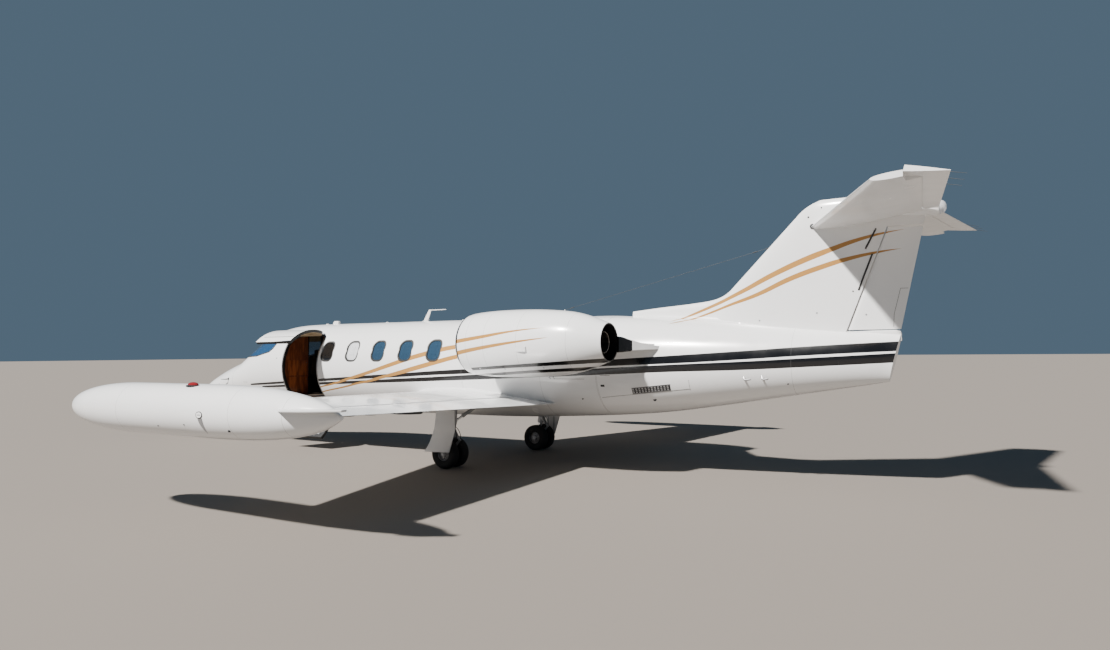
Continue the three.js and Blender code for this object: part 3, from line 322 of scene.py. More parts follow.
class Tree:
    """Adds and links the nodes of one material."""

    def __init__(self, material, source="Object"):
        self.tree = material.node_tree
        self.shader = self.tree.nodes["Principled BSDF"]
        if source == "Object":
            self.place = self.add("TexCoord").outputs["Object"]
        else:
            attribute = self.add("Attribute")
            attribute.attribute_name = source
            self.place = attribute.outputs["Vector"]
        self.split = self.add("SeparateXYZ")
        self.link(self.place, self.split.inputs[0])

    def add(self, kind, **settings):
        node = self.tree.nodes.new("ShaderNode" + kind)
        for key, value in settings.items():
            setattr(node, key, value)
        return node

    def link(self, output, socket):
        self.tree.links.new(output, socket)

    def feed(self, value, socket):
        if isinstance(value, (int, float)):
            socket.default_value = value
        else:
            self.link(value, socket)

    def maths(self, operation, a, b=0.0):
        node = self.add("Math", operation=operation)
        self.feed(a, node.inputs[0])
        self.feed(b, node.inputs[1])
        return node.outputs[0]

    def ramp(self, value, low, high, start=0.0, end=1.0):
        node = self.add("MapRange")
        self.feed(value, node.inputs["Value"])
        for key, number in (("From Min", low), ("From Max", high), ("To Min", start), ("To Max", end)):
            node.inputs[key].default_value = number
        return node.outputs["Result"]

    def noise(self, scale, detail=3.0, stretch=None):
        place = self.place
        if stretch:
            mapping = self.add("Mapping")
            mapping.inputs["Scale"].default_value = stretch
            self.link(place, mapping.inputs["Vector"])
            place = mapping.outputs[0]
        node = self.add("TexNoise")
        node.inputs["Scale"].default_value = scale
        node.inputs["Detail"].default_value = detail
        self.link(place, node.inputs["Vector"])
        return node.outputs["Fac"]

    def mix(self, factor, first, second):
        node = self.add("Mix", data_type="RGBA")
        self.feed(factor, node.inputs["Factor"])
        for value, socket in ((first, node.inputs[6]), (second, node.inputs[7])):
            if isinstance(value, tuple):
                socket.default_value = (*value, 1)
            else:
                self.link(value, socket)
        return node.outputs[2]

    def curve(self, value, points):
        """A smooth function of a value from 0 to 1, through points from 0 to 1."""
        node = self.add("FloatCurve")
        self.feed(value, node.inputs["Value"])
        line = node.mapping.curves[0]
        for k, (a, b) in enumerate(points):
            if k < 2:
                line.points[k].location = (a, b)
            else:
                line.points.new(a, b)
        node.mapping.update()
        return node.outputs[0]

    def bump(self, height, strength, distance):
        node = self.add("Bump")
        node.inputs["Strength"].default_value = strength
        node.inputs["Distance"].default_value = distance
        self.feed(height, node.inputs["Height"])
        self.link(node.outputs[0], self.shader.inputs["Normal"])

    def colour(self, output):
        self.link(output, self.shader.inputs["Base Color"])

    def roughness(self, output):
        self.link(output, self.shader.inputs["Roughness"])


# Painted stripes: station, level of the middle and half width. Both sides of the jet have them.
BLACK_UPPER = (
    (2.30, 1.150, 0), (2.45, 1.158, .018), (3.40, 1.209, .023), (4.39, 1.266, .025), (5.03, 1.300, .026),
    (5.71, 1.339, .029), (6.33, 1.370, .031), (6.98, 1.408, .033), (7.80, 1.446, .038), (10.24, 1.578, .046),
    (11.23, 1.626, .055), (12.12, 1.677, .057), (12.79, 1.720, .058), (13.95, 1.777, .060),
)
BLACK_LOWER = (
    (2.65, 1.114, 0), (2.82, 1.120, .018), (3.36, 1.143, .021), (4.37, 1.202, .023), (5.01, 1.229, .025),
    (5.62, 1.254, .026),
    (6.32, 1.284, .031), (6.97, 1.311, .034), (7.98, 1.357, .040), (10.24, 1.460, .047),
    (10.95, 1.494, .049), (12.13, 1.538, .056), (12.79, 1.572, .057), (13.95, 1.635, .058),
)
GOLD_UPPER = (
    (4.10, 1.075, 0), (4.38, 1.145, .013), (4.64, 1.190, .016), (5.21, 1.318, .025), (5.59, 1.405, .030),
    (6.11, 1.540, .036), (6.48, 1.638, .039), (6.81, 1.713, .040), (7.18, 1.790, .039), (7.41, 1.825, .037),
    (8.20, 1.900, .025), (8.60, 1.930, 0),
)
GOLD_LOWER = (
    (4.10, 1.000, 0), (4.42, 1.063, .011), (4.96, 1.150, .015), (5.34, 1.223, .019), (5.55, 1.256, .021),
    (5.98, 1.345, .026), (6.37, 1.424, .034), (6.75, 1.507, .040), (7.11, 1.587, .039), (7.54, 1.677, .035),
    (8.30, 1.780, .019), (8.60, 1.810, 0),
)
NACELLE_BLACK_UPPER = ((8.40, 1.497, .020), (9.30, 1.549, .023), (9.92, 1.583, .025), (10.50, 1.618, .028))
NACELLE_BLACK_LOWER = ((8.40, 1.402, .018), (9.22, 1.453, .020), (9.85, 1.487, .022), (10.50, 1.52, .022))
NACELLE_GOLD_UPPER = (
    (8.15, 1.888, .030), (8.69, 1.954, .025), (9.19, 2.022, .014), (9.46, 2.048, .008), (9.75, 2.066, 0),
)
NACELLE_GOLD_LOWER = (
    (8.15, 1.716, .030), (8.69, 1.799, .026), (9.21, 1.868, .017), (9.73, 1.925, .004), (9.80, 1.932, 0),
)
FIN_GOLD_UPPER = (
    (10.95, 2.160, 0), (11.11, 2.213, .013), (11.92, 2.534, .031), (12.38, 2.751, .039), (12.82, 2.931, .041),
    (13.14, 3.039, .034), (13.45, 3.136, .025), (13.75, 3.202, .013), (14.02, 3.236, 0),
)
FIN_GOLD_LOWER = (
    (10.95, 2.120, 0), (11.20, 2.180, .011), (11.78, 2.370, .020), (12.13, 2.480, .028), (12.65, 2.699, .036),
    (13.04, 2.825, .035), (13.29, 2.892, .028), (13.71, 2.970, .014), (13.98, 2.998, 0),
)
STATION_SPAN = 16.0
LEVEL_SPAN = 4.0
WIDTH_SPAN = 0.1
STRIPE_EDGE = 0.0012
SEAM_WIDTH = 0.0022
SEAM_SHADE = (0.10, 0.10, 0.10)
SEAM_DEPTH = 20.0

WHITE = (0.83, 0.835, 0.84)
BLACK = (0.004, 0.004, 0.005)
GOLD = (0.40, 0.205, 0.056)
GRIME = (0.42, 0.39, 0.34)


def stripe(nodes, station, level, table):
    """1 inside a stripe and 0 outside it."""
    first, last = table[0][0], table[-1][0]
    middle = nodes.curve(station, [(s / STATION_SPAN, z / LEVEL_SPAN) for s, z, half in table])
    half = nodes.curve(station, [(s / STATION_SPAN, w / WIDTH_SPAN) for s, z, w in table])
    distance = nodes.maths("ABSOLUTE", nodes.maths("SUBTRACT", nodes.maths("DIVIDE", level, LEVEL_SPAN),
                                                   middle))
    spare = nodes.maths("SUBTRACT", nodes.maths("MULTIPLY", half, WIDTH_SPAN / LEVEL_SPAN), distance)
    edge = STRIPE_EDGE / LEVEL_SPAN
    inside = nodes.ramp(spare, -edge, edge)
    after = nodes.ramp(station, first / STATION_SPAN, first / STATION_SPAN + 1e-4)
    before = nodes.ramp(station, last / STATION_SPAN, last / STATION_SPAN - 1e-4)
    return nodes.maths("MULTIPLY", inside, nodes.maths("MULTIPLY", after, before))


def line_mask(nodes, value, places, width):
    """1 on thin lines where a value reaches one of the places."""
    mask = None
    for place in places:
        distance = nodes.maths("ABSOLUTE", nodes.maths("SUBTRACT", value, place))
        line = nodes.ramp(distance, width / 2, width)
        mask = line if mask is None else nodes.maths("MINIMUM", mask, line)
    return nodes.maths("SUBTRACT", 1.0, mask)


def paint(name, black=(), gold=(), seams=(), level_seams=(), span_seams=(), outboard=None, source="Object",
          streaks=0.25):
    """Gloss white paint with stripes, panel seams and a little grime in long streaks."""
    made = new_material(name, WHITE, 0.22, Coat_Weight=0.35, Coat_Roughness=0.06, Specular_IOR_Level=0.5)
    nodes = Tree(made, source)
    along = nodes.maths("ADD", nodes.split.outputs["Y"], MIDDLE)
    station = nodes.maths("DIVIDE", along, STATION_SPAN)
    level = nodes.split.outputs["Z"]
    patches = nodes.ramp(nodes.noise(1.3, 4), 0.45, 0.8)
    streaked = nodes.ramp(nodes.noise(5.0, 5, (3.0, 0.35, 3.0)), 0.55, 0.9)
    dirt = nodes.maths("MULTIPLY", nodes.maths("ADD", patches, streaked), streaks * 0.4)
    colour = nodes.mix(dirt, WHITE, GRIME)
    tint = tuple(0.97 * c for c in WHITE)
    colour = nodes.mix(nodes.maths("MULTIPLY", nodes.noise(0.7, 2), 0.5), colour, tint)
    away = nodes.maths("ABSOLUTE", nodes.split.outputs["X"])
    for tables, shade in ((black, BLACK), (gold, GOLD)):
        for table in tables:
            mask = stripe(nodes, station, level, table)
            if outboard is not None:
                mask = nodes.maths("MULTIPLY", mask, nodes.ramp(away, outboard, outboard + 0.002))
            colour = nodes.mix(mask, colour, shade)
    height = nodes.noise(90, 2)
    for value, places in ((along, seams), (level, level_seams), (away, span_seams)):
        if places:
            lines = line_mask(nodes, value, places, SEAM_WIDTH)
            colour = nodes.mix(nodes.maths("MULTIPLY", lines, 0.65), colour, SEAM_SHADE)
            height = nodes.maths("SUBTRACT", height, nodes.maths("MULTIPLY", lines, SEAM_DEPTH))
    nodes.colour(colour)
    nodes.roughness(nodes.ramp(nodes.noise(3.0, 3), 0.3, 0.8, 0.16, 0.30))
    nodes.bump(height, 0.04, 0.002)
    return made


def worn_metal(name, colour, roughness, scale=30, stains=(0.1, 0.09, 0.08), amount=0.35, metallic=1.0):
    made = new_material(name, colour, roughness, metallic)
    nodes = Tree(made)
    spots = nodes.ramp(nodes.noise(scale, 5), 0.5, 0.8)
    nodes.colour(nodes.mix(nodes.maths("MULTIPLY", spots, amount), colour, stains))
    nodes.roughness(nodes.ramp(nodes.noise(scale * 1.7, 4), 0.3, 0.7, roughness * 0.75,
                               min(roughness * 1.35, 1)))
    nodes.bump(nodes.noise(scale * 9, 3), 0.12, 0.0006)
    return made


def soft_dull(name, colour, roughness, scale, strength, shade=0.75, distance=0.001, **sockets):
    """Rubber, plastic, leather or cloth: a colour with a fine grain."""
    made = new_material(name, colour, roughness, **sockets)
    nodes = Tree(made)
    darker = tuple(shade * c for c in colour)
    nodes.colour(nodes.mix(nodes.ramp(nodes.noise(scale * 0.2, 4), 0.35, 0.75), colour, darker))
    cells = nodes.add("TexVoronoi")
    cells.inputs["Scale"].default_value = scale
    nodes.link(nodes.place, cells.inputs["Vector"])
    nodes.bump(cells.outputs["Distance"], strength, distance)
    return made


def wood(name):
    made = new_material(name, (0.16, 0.06, 0.025), 0.28, Coat_Weight=0.6, Coat_Roughness=0.08)
    nodes = Tree(made)
    grain = nodes.add("TexWave", wave_type="BANDS", bands_direction="Y")
    grain.inputs["Scale"].default_value = 9.0
    grain.inputs["Distortion"].default_value = 6.0
    grain.inputs["Detail"].default_value = 3.0
    mapping = nodes.add("Mapping")
    mapping.inputs["Scale"].default_value = (1.6, 1.0, 0.35)
    nodes.link(nodes.place, mapping.inputs["Vector"])
    nodes.link(mapping.outputs[0], grain.inputs["Vector"])
    nodes.colour(nodes.mix(grain.outputs["Fac"], (0.52, 0.150, 0.052), (0.22, 0.060, 0.024)))
    nodes.bump(grain.outputs["Fac"], 0.05, 0.0005)
    return made


def glass(name, colour, roughness=0.03, alpha=0.45):
    made = new_material(name, colour, roughness, 0.0, Specular_IOR_Level=0.8, Coat_Weight=0.5, Alpha=alpha)
    nodes = Tree(made)
    nodes.roughness(nodes.ramp(nodes.noise(6, 3), 0.4, 0.9, roughness, roughness + 0.05))
    return made


BODY_BLACK = (BLACK_UPPER, BLACK_LOWER)
BODY_GOLD = (GOLD_UPPER, GOLD_LOWER)
M = {
    "plain": paint("white_paint", streaks=0.15),
    "nose": paint("nose_paint", BODY_BLACK, seams=(0.42, 1.722), streaks=0.18),
    "cabin": paint("cabin_paint", BODY_BLACK, BODY_GOLD, seams=(1.736, 7.61), streaks=0.12),
    "door": paint("door_paint", BODY_BLACK, BODY_GOLD, source="closed", streaks=0.12),
    "rear": paint("rear_paint", BODY_BLACK, BODY_GOLD, seams=(7.63, 9.06, 9.977), streaks=0.3),
    "tail": paint("tail_paint", BODY_BLACK, (FIN_GOLD_UPPER, FIN_GOLD_LOWER), seams=(9.992, 12.68),
                  streaks=0.3),
    "fin": paint("fin_paint", (), (FIN_GOLD_UPPER, FIN_GOLD_LOWER), streaks=0.15),
    "nacelle": paint("nacelle_paint", (NACELLE_BLACK_UPPER, NACELLE_BLACK_LOWER),
                     (NACELLE_GOLD_UPPER, NACELLE_GOLD_LOWER), seams=(8.42, 8.74, 9.30, 10.05),
                     outboard=1.25, streaks=0.2),
    "wing": paint("wing_paint", span_seams=(1.24, 2.46, 3.725, 4.60, 5.36), streaks=0.3),
    "tank": paint("tank_paint", seams=(7.16, 8.98, 9.65), streaks=0.3),
    "black": soft_dull("black_paint", BLACK, 0.2, 60, 0.02, Coat_Weight=0.4),
    "lip": worn_metal("polished_lip", (0.72, 0.73, 0.75), 0.14, 12, amount=0.15),
    "steel": worn_metal("gear_metal", (0.42, 0.43, 0.45), 0.38, 25, metallic=0.75),
    "chrome": worn_metal("chrome_rod", (0.85, 0.86, 0.88), 0.07, 20, amount=0.1),
    "alloy": worn_metal("wheel_alloy", (0.30, 0.30, 0.31), 0.40, 40, (0.04, 0.035, 0.03), 0.6),
    "engine": worn_metal("engine_metal", (0.30, 0.27, 0.24), 0.40, 15, (0.07, 0.05, 0.04), 0.7),
    "exhaust": worn_metal("sooty_metal", (0.035, 0.033, 0.032), 0.55, 18, (0.01, 0.01, 0.01), 0.6, 0.6),
    "fan": worn_metal("fan_metal", (0.50, 0.51, 0.53), 0.25, 20, amount=0.2),
    "tyre": soft_dull("tyre_rubber", (0.014, 0.014, 0.015), 0.8, 300, 0.25),
    "rubber": soft_dull("black_rubber", (0.018, 0.018, 0.018), 0.65, 200, 0.2),
    "bay": soft_dull("bay_lining", (0.10, 0.11, 0.10), 0.7, 60, 0.2),
    "dark": soft_dull("dark_panel", (0.018, 0.019, 0.021), 0.5, 150, 0.15),
    "leather_dark": soft_dull("dark_leather", (0.05, 0.042, 0.038), 0.5, 260, 0.35),
    "leather_tan": soft_dull("tan_leather", (0.50, 0.36, 0.23), 0.5, 260, 0.35),
    "carpet": soft_dull("carpet", (0.16, 0.12, 0.09), 0.95, 700, 0.8, 0.6, 0.003),
    "lining": soft_dull("cabin_lining", (0.55, 0.43, 0.28), 0.85, 500, 0.3),
    "white_plastic": soft_dull("white_plastic", (0.78, 0.78, 0.77), 0.35, 120, 0.05),
    "wood": wood("wood_veneer"),
    "glass": glass("clear_glass", (0.022, 0.080, 0.19), 0.03, 0.55),
    "window": glass("window_glass", (0.026, 0.060, 0.105), 0.04, 0.72),
    "window_dark": glass("dark_window_glass", (0.008, 0.008, 0.009), 0.04, 0.86),
    "lamp_green": new_material("lamp_green", (0.01, 0.30, 0.08), 0.12, Coat_Weight=0.6),
    "lamp_red": new_material("lamp_red", (0.20, 0.010, 0.012), 0.12, Coat_Weight=0.6),
    "lamp_clear": glass("lamp_clear", (0.85, 0.87, 0.9), 0.03, 0.5),
}


def give(piece, body, slot, *materials, replaces=(), degrees=35):
    """Smooths a finished piece, gives it its materials and hangs it on its body. The slot is not used."""
    if materials:
        piece.data.materials.clear()
        for key in materials:
            piece.data.materials.append(M[key])
    if degrees:
        smooth(piece, degrees)
    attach(piece, body)
    if replaces:
        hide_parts(*replaces)
    return piece


def colour_in(piece, key):
    """One material all over, before a piece is joined to others or used as a tool."""
    piece.data.materials.clear()
    piece.data.materials.append(M[key])
    return piece


# Floor
FLOOR_SIZE = 600
FLOOR_SHADE = (0.20, 0.177, 0.155)

deselect()
bpy.ops.mesh.primitive_plane_add(size=FLOOR_SIZE)
floor = bpy.context.object
floor.name = "floor"
floor.data.materials.append(new_material("pale_floor", FLOOR_SHADE, 0.9))


# Fuselage: station, top, bottom, level of the widest point, half width
BODY = np.array((
    (-.050, .992, .968, .980, .012), (0, 1.035, .925, .980, .072), (.110, 1.085, .878, .985, .140),
    (.300, 1.148, .838, 1.000, .222), (.600, 1.275, .785, 1.040, .332), (1.000, 1.425, .742, 1.110, .448),
    (1.400, 1.552, .715, 1.190, .552), (1.730, 1.645, .702, 1.260, .628), (1.900, 1.745, .698, 1.300, .656),
    (2.100, 1.885, .695, 1.345, .686), (2.300, 2.015, .692, 1.390, .712), (2.500, 2.120, .690, 1.425, .735),
    (2.750, 2.215, .690, 1.460, .760), (3.050, 2.272, .690, 1.480, .784), (3.400, 2.294, .690, 1.490, .798),
    (4.000, 2.300, .690, 1.490, .800), (7.620, 2.290, .690, 1.490, .800), (8.400, 2.285, .702, 1.490, .784),
    (9.200, 2.280, .738, 1.495, .748), (9.985, 2.265, .782, 1.505, .700), (10.800, 2.225, .852, 1.520, .632),
    (11.600, 2.155, .965, 1.540, .548), (12.400, 2.070, 1.092, 1.565, .440),
    (13.100, 1.995, 1.208, 1.600, .316), (13.600, 1.955, 1.292, 1.630, .200),
    (13.880, 1.938, 1.345, 1.650, .096),
))
BODY_SIDES = 96
NOSE_END = 1.730
CABIN_END = 7.620
TAIL_START = 9.985
TAIL_END = 13.880
TAIL_REACH = 0.090
TAIL_SLANT = ((13.960, 2.2), (13.955, 1.94), (13.800, 1.33), (13.750, 1.2), (14.3, 1.2), (14.3, 2.2))


def smooth_row(table, place):
    """The table's columns at one place, on smooth curves through its rows."""
    last = len(table) - 1
    k = int(np.clip(np.searchsorted(table[:, 0], place, "right") - 1, 0, last - 1))
    a, b = table[k], table[k + 1]
    span = b[0] - a[0]
    t = min(max((place - a[0]) / span, 0), 1)
    def slope(start, end):
        return (end - start) / (end[0] - start[0])
    before = slope(a, b) if k == 0 else slope(table[k - 1], b)
    after = slope(a, b) if k == last - 1 else slope(a, table[k + 2])
    t2, t3 = t * t, t * t * t
    return (a * (2 * t3 - 3 * t2 + 1) + b * (3 * t2 - 2 * t3)
            + span * (before * (t3 - 2 * t2 + t) + after * (t3 - t2)))


def body_section(station):
    """Top, bottom, level of the widest point and half width."""
    return smooth_row(BODY, station)[1:]


def roof_level(station):
    return body_section(station)[0]


def body_point(station, angle, grow=0.0, scale=1.0):
    top, bottom, widest, half = body_section(station)
    rise = top - widest if math.sin(angle) >= 0 else widest - bottom
    return at(scale * (half + grow) * math.cos(angle), station,
              widest + scale * (rise + grow) * math.sin(angle))


def body_ring(station, grow=0.0, sides=BODY_SIDES):
    return [body_point(station, 2 * math.pi * k / sides, grow) for k in range(sides)]


def stations(start, end, step):
    count = max(int(round((end - start) / step)), 1)
    return [start + (end - start) * k / count for k in range(count + 1)]


def body_skin(name, start, end, step=0.08, grow=0.0, key="plain", ends=(True, True)):
    piece = skin(name, [body_ring(s, grow) for s in stations(start, end, step)], ends=ends)
    return colour_in(piece, key)


def skin_x(station, level, out=0.0):
    """How far the skin lies from the centre plane at a station and a level."""
    top, bottom, widest, half = body_section(station)
    rise = top - widest if level >= widest else widest - bottom
    share = min(abs(level - widest) / rise, 0.999)
    return half * math.sqrt(1 - share * share) + out


def side_block(name, outline, x0, x1, key):
    """An outline of stations and levels, stretched across from x0 to x1."""
    rings = [[at(x, s, z) for s, z in outline] for x in (x0, x1)]
    return colour_in(skin(name, rings), key)


# Cabin windows, windshield and doorway
WINDOW_FIRST = 4.560
WINDOW_PITCH = 0.616
WINDOW_LEVEL = 1.778
WINDOW_SIZE = (0.280, 0.340)
WINDOW_CORNER = 0.105
WINDOWS = {"left": range(0, 5), "right": range(-1, 5)}
WINDSHIELD = ((1.650, 1.682), (2.540, 1.712), (2.930, 1.790), (3.020, 1.850), (3.075, 1.985), (1.650, 1.985))
POST = 0.026
SKIN_GAP = 0.0003
PROBE_ANGLE = math.radians(4)
CABIN_WALL = 0.060
DOOR = {"start": 3.420, "end": 4.330, "top": 50, "split": -17, "bottom": -65, "corner": 15, "wall": 0.052}
DOOR_GAP = 0.008
DOOR_RADIUS = 0.8


def rounded(centre, size, corner, grow=0.0, steps=8):
    """Points of a rounded rectangle, as pairs of station and level."""
    half_w, half_h, radius = size[0] / 2 + grow, size[1] / 2 + grow, corner + grow
    points = []
    for quarter in range(4):
        sign_w = 1 if quarter in (0, 3) else -1
        sign_h = 1 if quarter in (0, 1) else -1
        for k in range(steps + 1):
            turn = math.pi / 2 * (quarter + k / steps)
            points.append((centre[0] + sign_w * (half_w - radius) + radius * math.cos(turn),
                           centre[1] + sign_h * (half_h - radius) + radius * math.sin(turn)))
    return points


def drawn_in(outline, margin):
    """An anticlockwise outline with every edge drawn in by a margin."""
    count = len(outline)
    normals = []
    for k, (u, v) in enumerate(outline):
        nu, nv = outline[(k + 1) % count]
        length = math.hypot(nu - u, nv - v)
        normals.append(((v - nv) / length, (nu - u) / length))
    moved = []
    for k, (u, v) in enumerate(outline):
        a, b = normals[k - 1], normals[k]
        scale = margin / (1 + a[0] * b[0] + a[1] * b[1])
        moved.append((u + (a[0] + b[0]) * scale, v + (a[1] + b[1]) * scale))
    return moved


def windshield_block(name, margin, side, key):
    x0, x1 = sorted((side * (POST + margin), side * 1.2))
    return side_block(name, drawn_in(WINDSHIELD, margin), x0, x1, key)


def door_margin(angle, margin):
    """How far the doorway's edge is drawn in from its start and end at an angle round the body."""
    edge = math.degrees(margin / DOOR_RADIUS)
    near = max(min(angle - DOOR["bottom"] - edge, DOOR["top"] - edge - angle), 0)
    inside = min(near / DOOR["corner"], 1)
    return 0.215 * (1 - math.sqrt(1 - (1 - inside) ** 2)) + margin


def door_rows(low, high, margin, steps=40):
    """Angles round the body, with the first and last station of the door at each."""
    edge = math.degrees(margin / DOOR_RADIUS)
    low = max(low + edge / 2, DOOR["bottom"] + edge)
    high = min(high - edge / 2, DOOR["top"] - edge)
    rows = []
    for k in range(steps + 1):
        angle = low + (high - low) * k / steps
        draw = door_margin(angle, margin)
        rows.append((math.radians(angle), DOOR["start"] + draw, DOOR["end"] - draw))
    return rows


def doorway_block(name, key):
    rings = [[body_point(station, angle, scale=scale)
              for station, scale in ((start, 0.55), (end, 0.55), (end, 1.3), (start, 1.3))]
             for angle, start, end in door_rows(DOOR["bottom"], DOOR["top"], 0, 48)]
    return colour_in(skin(name, rings), key)


def make_nose():
    nose = body_skin("nose_skin", -0.05, NOSE_END - SKIN_GAP, 0.04, key="nose")
    cut(nose, colour_in(block("well", at(-0.12, 0.90, 0.5), at(0.12, 1.685, 0.98), 0), "bay"))
    give(nose, "airframe", "white_paint", replaces=["nose_cone"])
    probes = []
    for side in (1, -1):
        def spot(out, shift=(0, 0, 0)):
            p = body_point(1.560, PROBE_ANGLE, out) + Vector(shift)
            return Vector((side * p.x, p.y, p.z))
        bend = spot(-0.010, (0.062, -0.050, -0.008))
        probes.append(rod("arm", spot(-0.010), bend, 0.0125, 0.008, 14))
        tip = spot(-0.010, (0.066, -0.170, -0.008))
        probes.append(rod("tube", bend + Vector((0, 0.006, 0)), tip, 0.0078, 0.0048, 14))
        foot, base = spot(-0.004), spot(0.001)
        probes.append(rod("foot", foot, base + (base - foot) * 0.4, 0.026, sides=24))
    give(join("air_data_probes", probes), "airframe", "gear_metal", "dark")


def window_outline(k, grow=0.0, steps=8):
    """Stations and levels round one window, numbered aft from the first one that both sides have."""
    centre = (WINDOW_FIRST + k * WINDOW_PITCH, WINDOW_LEVEL)
    return rounded(centre, WINDOW_SIZE, WINDOW_CORNER, grow, steps)


def make_cabin():
    cabin = body_skin("cabin_skin", NOSE_END, CABIN_END, key="cabin")
    cut(cabin, body_skin("inner", NOSE_END + 0.045, CABIN_END - 0.06, grow=-CABIN_WALL, key="lining"))
    for name, side in SIDES:
        x0, x1 = sorted((side * 0.4, side * 1.0))
        for k in WINDOWS[name]:
            cut(cabin, side_block("hole", window_outline(k), x0, x1, "lining"))
        cut(cabin, windshield_block("hole", 0, side, "dark"))
    cut(cabin, doorway_block("hole", "rubber"))
    give(cabin, "airframe", "white_paint", replaces=["cabin_shell"])


make_nose()
make_cabin()


def on_skin(station, level, side, out=0.0):
    return at(side * skin_x(station, level, out), station, level)


def window_loop(k, side, grow, out, steps=8):
    return [on_skin(s, z, side, out) for s, z in window_outline(k, grow, steps)]


def sheet(name, loops, thickness):
    """Loops drawn in to a middle and thickened to both sides."""
    return modify(skin(name, loops, ends=(False, True)), "SOLIDIFY", thickness=thickness, offset=0)


def windshield_part(name, outer, inner, keep, key):
    """A shell between an outer and an inner skin, each a start, an end and a growth, only inside keep."""
    part = body_skin(name, outer[0], outer[1], 0.04, outer[2], key)
    cut(part, body_skin("inner", inner[0], inner[1], 0.04, inner[2], key))
    return cut(part, keep, operation="INTERSECT")


def make_windows():
    """Each window has a dark seal proud of the skin, a pane set back in it and, in one, a blind."""
    seal = ((0.014, -0.004), (0.014, 0.0016), (0.003, 0.0032), (-0.012, 0.0014), (-0.018, -0.009),
            (-0.018, -0.022), (-0.002, -0.022), (-0.002, -0.004), (0.014, -0.004))
    for name, side in SIDES:
        seals, panes, blinds = [], [], []
        shades = {0: "window_dark", 1: "lamp_clear"} if name == "left" else {}
        for k in WINDOWS[name]:
            seals.append(skin("seal", [window_loop(k, side, *row) for row in seal], ends=(False, False)))
            pane = sheet("pane", [window_loop(k, side, grow, -0.014)
                                  for grow in (-0.003, -0.03, -0.06, -0.09, -0.12)], 0.005)
            panes.append(colour_in(pane, shades.get(k, "window")))
            if shades.get(k) == "lamp_clear":
                blinds.append(sheet("blind", [window_loop(k, side, grow, -0.030)
                                              for grow in (-0.001, -0.05, -0.10)], 0.004))
        give(join(f"window_seals_{name}", seals), "airframe", "black_rubber", "rubber")
        give(join(f"window_panes_{name}", panes), "airframe", "clear_glass")
        if blinds:
            give(join(f"window_blind_{name}", blinds), "airframe", "cabin_lining", "white_plastic")
        pane = windshield_part("windshield_pane_" + name, (1.70, 3.15, -0.003), (1.60, 3.30, -0.016),
                               windshield_block("keep", 0.0008, side, "glass"), "glass")
        give(pane, "airframe", "clear_glass", replaces=["windshield_" + name])
        x0, x1 = sorted((side * 0.004, side * 1.2))
        for kind, outer, inner, margin, hole, key, slot in (
                ("frame", (1.68, 3.16, 0.0022), (1.60, 3.30, -0.004), -0.020, 0.002, "rubber",
                 "black_rubber"),
                ("surround", (1.90, 3.20, -CABIN_WALL - 0.001), (1.80, 3.30, -CABIN_WALL - 0.009), -0.045, 0,
                 "white_plastic", "cabin_lining")):
            outline = [(s, min(z, 1.990)) for s, z in drawn_in(WINDSHIELD, margin)]
            part = windshield_part(f"windshield_{kind}_{name}", outer, inner,
                                   side_block("keep", outline, x0, x1, key), key)
            cut(part, windshield_block("hole", hole, side, key))
            give(part, "airframe", slot)


make_windows()


def make_rear():
    rear = body_skin("rear_skin", CABIN_END + SKIN_GAP, TAIL_START - SKIN_GAP, key="rear")
    give(rear, "airframe", "white_paint", replaces=["rear_fuselage"])
    tail = body_skin("tail_skin", TAIL_START, TAIL_END, key="tail")
    for vertex in tail.data.vertices:
        if vertex.co.y + MIDDLE > TAIL_END - 0.01:
            vertex.co.y += TAIL_REACH
    cut(tail, side_block("slant", TAIL_SLANT, -0.4, 0.4, "plain"))
    give(tail, "airframe", "white_paint", replaces=["tail_cone"])


make_rear()


# Wings, fins and tailplane: panels between a root and a tip section
FOIL = [0.5 * (1 - math.cos(math.pi * k / 26)) for k in range(27)]
FLAP_NOSE = 10


def half_thickness(f):
    return 5 * (0.2969 * math.sqrt(f) - 0.126 * f - 0.3516 * f ** 2 + 0.2843 * f ** 3 - 0.1015 * f ** 4)


